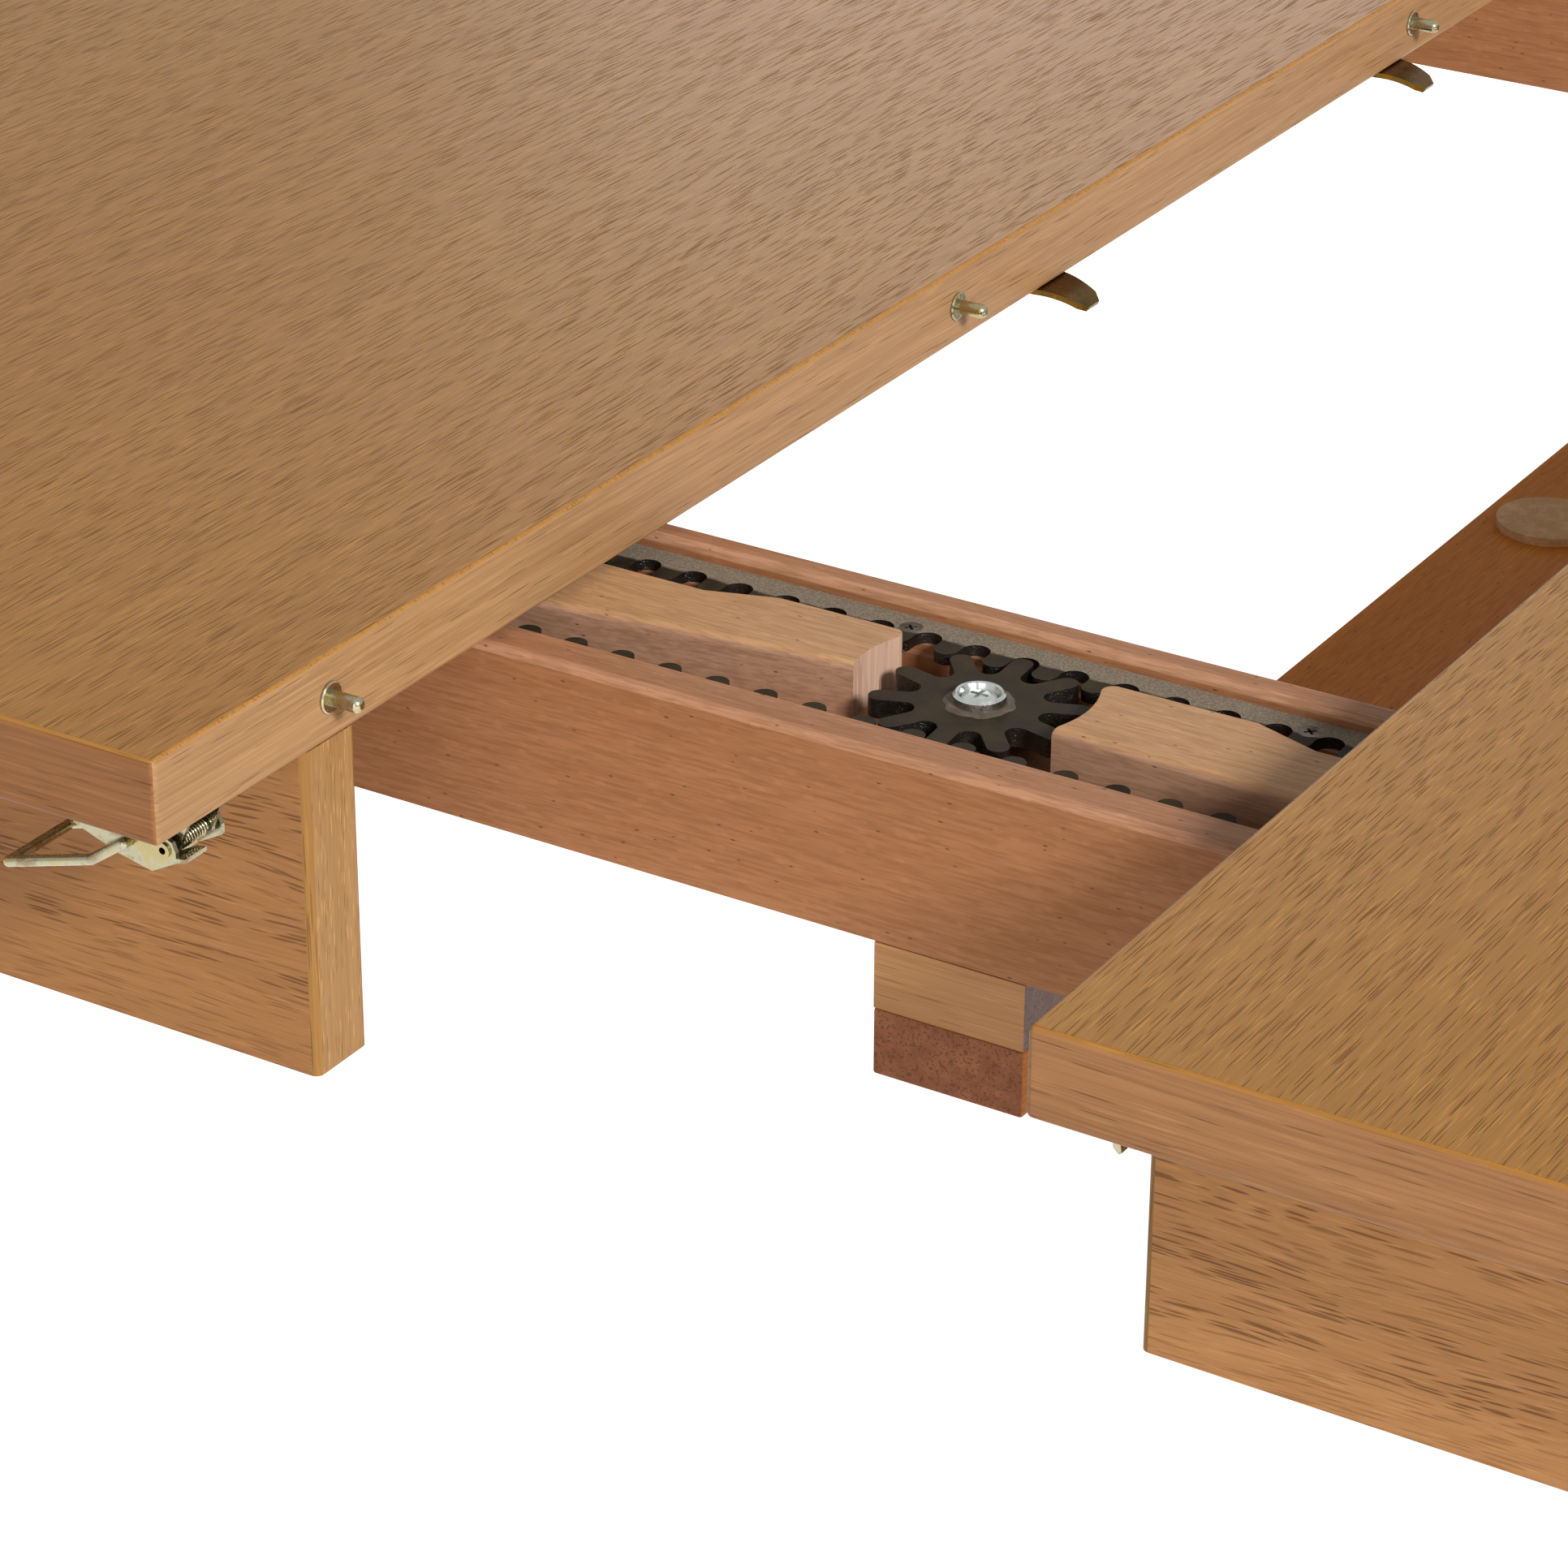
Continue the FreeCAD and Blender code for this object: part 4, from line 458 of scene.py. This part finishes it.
# Olive brass on the joint tongues, darkened to a painted dark reflection.
TONGUE_BRASS_DARK_REFLECTION = plated("tongue_brass_dark_reflection", ((0.15, 0.065, 0.006), (0.11, 0.06, 0.01),
                                       (0.085, 0.04, 0.007)), rough=0.24)
BRIGHT_ZINC = plated("bright_zinc", ((0.5, 0.53, 0.5), (0.58, 0.61, 0.58), (0.42, 0.45, 0.43)),
                     rough=0.2, scratch=0.06)
DARK_SCREW = plated("dark_screw", ((0.12, 0.1, 0.08), (0.16, 0.14, 0.12), (0.09, 0.075, 0.06)),
                    rough=0.42, grime=0.4)
BLACK_TOP = blackened("black_plate", (0.038, 0.028, 0.017), 0.55)
RACK_TOP = blackened("rack_plate", (0.038, 0.028, 0.017), 0.55, dust_and_sheen=True)
BLACK_WALL = blackened("black_wall", (0.01, 0.008, 0.006), 0.2, relief=0.0003,
                       gloss_level=0.5)
RUBBED = blackened("rubbed_plate", (0.13, 0.1, 0.075), 0.5, wear=0.6)
NYLON = moulded("nylon", (0.7, 0.68, 0.62), 0.4)
GLIDE = moulded("glide", (0.05, 0.035, 0.025), 0.5)
FELT = felted("felt", (0.86, 0.52, 0.24), (0.9, 0.62, 0.38))


# ---------------------------------------------------------------- dressing the CAD nodes
MERGED = 1e-6
COPLANAR = math.radians(0.5)
SHARP = math.radians(35)
STILL_SMOOTH = math.radians(32)
# A normal's part along an axis, at which a face counts as facing it or as flat to it.
FACES_AXIS = 0.6
FLAT_TO_AXIS = 0.98
FACES_UP = 0.95


def set_faces(mesh, materials, choose):
    """Puts each face in the slot that choose(normal, centre) gives."""
    mesh.materials.clear()
    for material in materials:
        mesh.materials.append(material)
    for face in mesh.polygons:
        face.material_index = choose(face.normal, face.center)


def dress(name, *materials, choose=None):
    """Gives a CAD node its materials."""
    set_faces(nodes[name].data, materials, choose or (lambda normal, centre: 0))


def added(mesh, materials, node):
    """A new piece of the scene that rides on the body of a CAD node."""
    for material in materials:
        mesh.materials.append(material)
    piece = bpy.data.objects.new(mesh.name, mesh)
    scene.collection.objects.link(piece)
    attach(piece, body_of(nodes[node])[0])
    return piece


def softened(name, width, materials, choose=None, worn=None, shortest=0.004, segments=2):
    """A copy of a CAD node whose sharp edges are rounded, shown in its place.

    worn is the material of the rounded edges, if it isn't the first one."""
    source = nodes[name]
    shape = bmesh.new()
    shape.from_mesh(source.data)
    bmesh.ops.remove_doubles(shape, verts=shape.verts, dist=MERGED)
    bmesh.ops.dissolve_limit(shape, angle_limit=COPLANAR, verts=shape.verts,
                             edges=shape.edges)
    sharp = [edge for edge in shape.edges
             if len(edge.link_faces) == 2 and edge.calc_length() > shortest
             and edge.calc_face_angle() > SHARP]
    for face in shape.faces:
        face.material_index = 0
    rounded = bmesh.ops.bevel(shape, geom=sharp, offset=width, segments=segments, profile=0.5,
                              affect="EDGES", clamp_overlap=True)
    arrises = set(rounded["faces"])
    for face in shape.faces:
        face.smooth = True
        if worn is not None and face in arrises:
            face.material_index = worn
        elif choose:
            face.material_index = choose(face.normal, face.calc_center_median())
    for edge in shape.edges:
        edge.smooth = len(edge.link_faces) == 2 and edge.calc_face_angle() < STILL_SMOOTH
    mesh = bpy.data.meshes.new(name + "_soft")
    shape.to_mesh(mesh)
    shape.free()
    if "custom_normal" in mesh.attributes:
        mesh.attributes.remove(mesh.attributes["custom_normal"])
    piece = added(mesh, materials, name)
    weighted = piece.modifiers.new("weighted", "WEIGHTED_NORMAL")
    weighted.keep_sharp = True
    weighted.weight = 80
    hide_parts(name)


def facing(*rules, tilted=0):
    """A chooser: tilted for a rounded arris, or the slot of the first rule that a normal meets.

    A rule is an axis, a sign (0 for both) and a slot."""
    def choose(normal, centre):
        if tilted and max(abs(part) for part in normal) < FLAT_TO_AXIS:
            return tilted
        for axis, sign, slot in rules:
            part = normal[AXES[axis]]
            if (abs(part) if sign == 0 else part * sign) > FACES_AXIS:
                return slot
        return 0
    return choose


def dress_tops():
    for half, veneer, edge in (("left", VENEER_LEFT, EDGE_LEFT_TONE_AND_SHADE),
                               ("right", VENEER_RIGHT, EDGE_RIGHT_TONE_AND_LIGHT)):
        dress(half + "_top_veneer", VENEER_EDGE, veneer,
              choose=lambda normal, centre: 1 if normal.z > FACES_UP else 0)
        dress(half + "_top_lippings", edge, EDGE_JOINT, choose=facing(("x", 0, 1)))
        dress(half + "_top_core", CORE)
        dress(half + "_packings", RAIL_TOP)


def dress_frame():
    for half, apron in (("left", APRON_LEFT_TONE_AND_SHADE), ("right", APRON_RIGHT_TONE_AND_LIGHT)):
        for row in ("near", "far"):
            dress("%s_%s_apron" % (half, row), apron, APRON_END, APRON_ARRIS,
                  choose=facing(("x", 0, 1), tilted=2))
            softened("%s_%s_leg" % (half, row), 0.0015, [LEG])
        softened(half + "_end_apron", 0.001, [LEG_APRON])
        softened(half + "_corner_blocks", 0.0008, [BEECH])
        dress(half + "_glides", GLIDE)
        dress(half + "_leg_bolts", BRIGHT_ZINC)
        dress(half + "_hardware_screws", BRIGHT_ZINC)
        dress(half + "_rail_screws", BRIGHT_ZINC)
        dress(half + "_rack_screws", DARK_SCREW)


def dress_slides():
    for half in ("left", "right"):
        for row in ("near", "far"):
            dress("%s_%s_rail" % (half, row), RAIL_SIDE, RAIL_TOP, RAIL_END, RAIL_ARRIS_HIGHLIGHT,
                  choose=facing(("z", 1, 1), ("x", 0, 2), tilted=3))
        softened(half + "_racks", 0.0007, [BLACK_WALL, RACK_TOP, BLACK_TOP],
                 choose=facing(("z", 1, 1)), worn=2, shortest=0.0012)
    softened("centre_bars", 0.0006, [RAIL_SIDE, RAIL_TOP, RAIL_END],
             choose=facing(("z", 1, 1), ("x", 0, 2)))
    for row in ("near", "far"):
        softened(row + "_filler_blocks", 0.0006, [BLOCK_SIDE, BLOCK_TOP, BLOCK_END, BLOCK_ARRIS],
                 choose=facing(("z", 1, 1), ("x", 0, 2)), worn=3)
        softened(row + "_pinion", 0.0011, [BLACK_WALL, BLACK_TOP],
                 choose=facing(("z", 1, 1)), worn=1, shortest=0.0012, segments=3)
    dress("pinion_cups", BRIGHT_ZINC)
    dress("pinion_screws", BRIGHT_ZINC)
    dress("pinion_washers", NYLON)
    softened("crossbars", 0.0008, [CROSSBAR, CROSSBAR_END],
             choose=facing(("y", 0, 1)))
    softened("crossbar_spacers", 0.0004, [SPACER, SPACER_END_GRAIN_AND_SHADE],
             choose=facing(("x", 0, 1)))
    dress("crossbar_screws", BRIGHT_ZINC)
    dress("felt_pads", FELT)


# The collar: how far it starts under the cup washer, its width, the height of its section at
# shares of that width, and how deep its foot goes into the pinion.
COLLAR_COVERED = 0.0005
COLLAR_WIDTH = 0.0024
COLLAR_SECTION = ((0.0, 0.0005), (0.55, 0.0005), (0.85, 0.0003), (1.0, 0.0))
COLLAR_SUNK = 0.00002
COLLAR_STEPS = 72


def collar(row):
    """The raised, rubbed ring that staking leaves on a pinion around its cup washer."""
    cup_low, cup_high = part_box("pinion_cups")
    low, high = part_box(row + "_pinion")
    middle = (Vector(low) + Vector(high)) / 2
    inner = (cup_high[0] - cup_low[0]) / 2 - COLLAR_COVERED
    outer = inner + COLLAR_WIDTH
    ring = bmesh.new()
    circles = []
    for share, height in COLLAR_SECTION:
        circle = []
        for step in range(COLLAR_STEPS):
            angle = 2 * math.pi * step / COLLAR_STEPS
            uneven = 0.0003 * math.sin(6 * angle + 0.7) + 0.0002 * math.sin(11 * angle)
            radius = inner + (outer + uneven - inner) * share
            circle.append(ring.verts.new((middle.x + radius * math.cos(angle),
                                          middle.y + radius * math.sin(angle),
                                          high[2] + height - COLLAR_SUNK)))
        circles.append(circle)
    for first, second in zip(circles, circles[1:]):
        for step in range(COLLAR_STEPS):
            after = (step + 1) % COLLAR_STEPS
            ring.faces.new((first[step], second[step], second[after], first[after]))
    for face in ring.faces:
        face.smooth = True
    mesh = bpy.data.meshes.new(row + "_pinion_collar")
    ring.to_mesh(mesh)
    ring.free()
    added(mesh, [RUBBED], row + "_pinion")


def dress_hardware():
    dress("joint_tongues", TONGUE_BRASS_DARK_REFLECTION)
    for name in ("alignment_pins", "alignment_sockets", "latch_rivets", "latch_springs",
                 "latch_brackets", "latch_keepers", "near_latch_lever", "far_latch_lever",
                 "near_latch_bail", "far_latch_bail"):
        dress(name, YELLOW_ZINC)


# ---------------------------------------------------------------- floor and light
FLOOR_REACH = 30.0
FLOOR_PAINT = (0.9, 0.9, 0.9)
FLOOR_GLOW = 0.82
WORLD_LEVEL = 0.37
LAMP_AIM = (0, 0, 0.7)
# Each lamp's name, place, watts and width.
LAMPS = (("key", (5.0, -2.6, 4.08), 470, 1.3),
         ("fill", (1.0, -3.8, 1.5), 24, 2.2),
         ("back", (-2.5, 4.3, 1.95), 12, 1.4))


def make_floor():
    """A pale floor that shows white and keeps a faint shadow of the table."""
    mesh = bpy.data.meshes.new("floor")
    reach = FLOOR_REACH
    corners = [(-reach, -reach, 0), (reach, -reach, 0), (reach, reach, 0), (-reach, reach, 0)]
    mesh.from_pydata(corners, [], [(0, 1, 2, 3)])
    floor = bpy.data.objects.new("floor", mesh)
    scene.collection.objects.link(floor)
    graph = Graph("floor")
    paint = graph.add("ShaderNodeBsdfDiffuse", {"Color": tinted(FLOOR_PAINT)})
    glow = graph.add("ShaderNodeEmission",
                     {"Color": tinted((1, 1, 1)),
                      "Strength": graph.math("MULTIPLY", seen_rays(graph), FLOOR_GLOW)})
    both = graph.add("ShaderNodeAddShader", {0: paint.outputs[0], 1: glow.outputs[0]})
    output = graph.add("ShaderNodeOutputMaterial")
    graph.tree.links.new(both.outputs[0], output.inputs["Surface"])
    mesh.materials.append(graph.material)


def seen_rays(graph):
    """1 for camera, glossy and transmission rays."""
    path = graph.add("ShaderNodeLightPath")
    seen = graph.math("MAXIMUM", path.outputs["Is Camera Ray"], path.outputs["Is Glossy Ray"])
    return graph.math("MAXIMUM", seen, path.outputs["Is Transmission Ray"])


def make_world():
    """A surround that shows white and lights softly."""
    world = bpy.data.worlds.new("studio")
    scene.world = world
    world.use_nodes = True
    tree = world.node_tree
    tree.nodes.clear()
    path = tree.nodes.new("ShaderNodeLightPath")
    largest = tree.nodes.new("ShaderNodeMath")
    largest.operation = "MAXIMUM"
    tree.links.new(path.outputs["Is Camera Ray"], largest.inputs[0])
    tree.links.new(path.outputs["Is Glossy Ray"], largest.inputs[1])
    strength = tree.nodes.new("ShaderNodeMapRange")
    tree.links.new(largest.outputs[0], strength.inputs["Value"])
    strength.inputs["To Min"].default_value = WORLD_LEVEL
    strength.inputs["To Max"].default_value = 1.0
    background = tree.nodes.new("ShaderNodeBackground")
    tree.links.new(strength.outputs["Result"], background.inputs["Strength"])
    output = tree.nodes.new("ShaderNodeOutputWorld")
    tree.links.new(background.outputs[0], output.inputs["Surface"])


def make_light():
    make_world()
    for name, place, power, wide in LAMPS:
        data = bpy.data.lights.new(name, "AREA")
        data.energy = power
        data.size = wide
        light = bpy.data.objects.new(name, data)
        scene.collection.objects.link(light)
        light.location = place
        aim = Vector(LAMP_AIM) - Vector(place)
        light.rotation_euler = aim.to_track_quat("-Z", "Y").to_euler()
    scene.view_settings.view_transform = "Standard"


make_camera()
dress_tops()
dress_frame()
dress_slides()
dress_hardware()
for row in ("near", "far"):
    collar(row)
make_floor()
make_light()
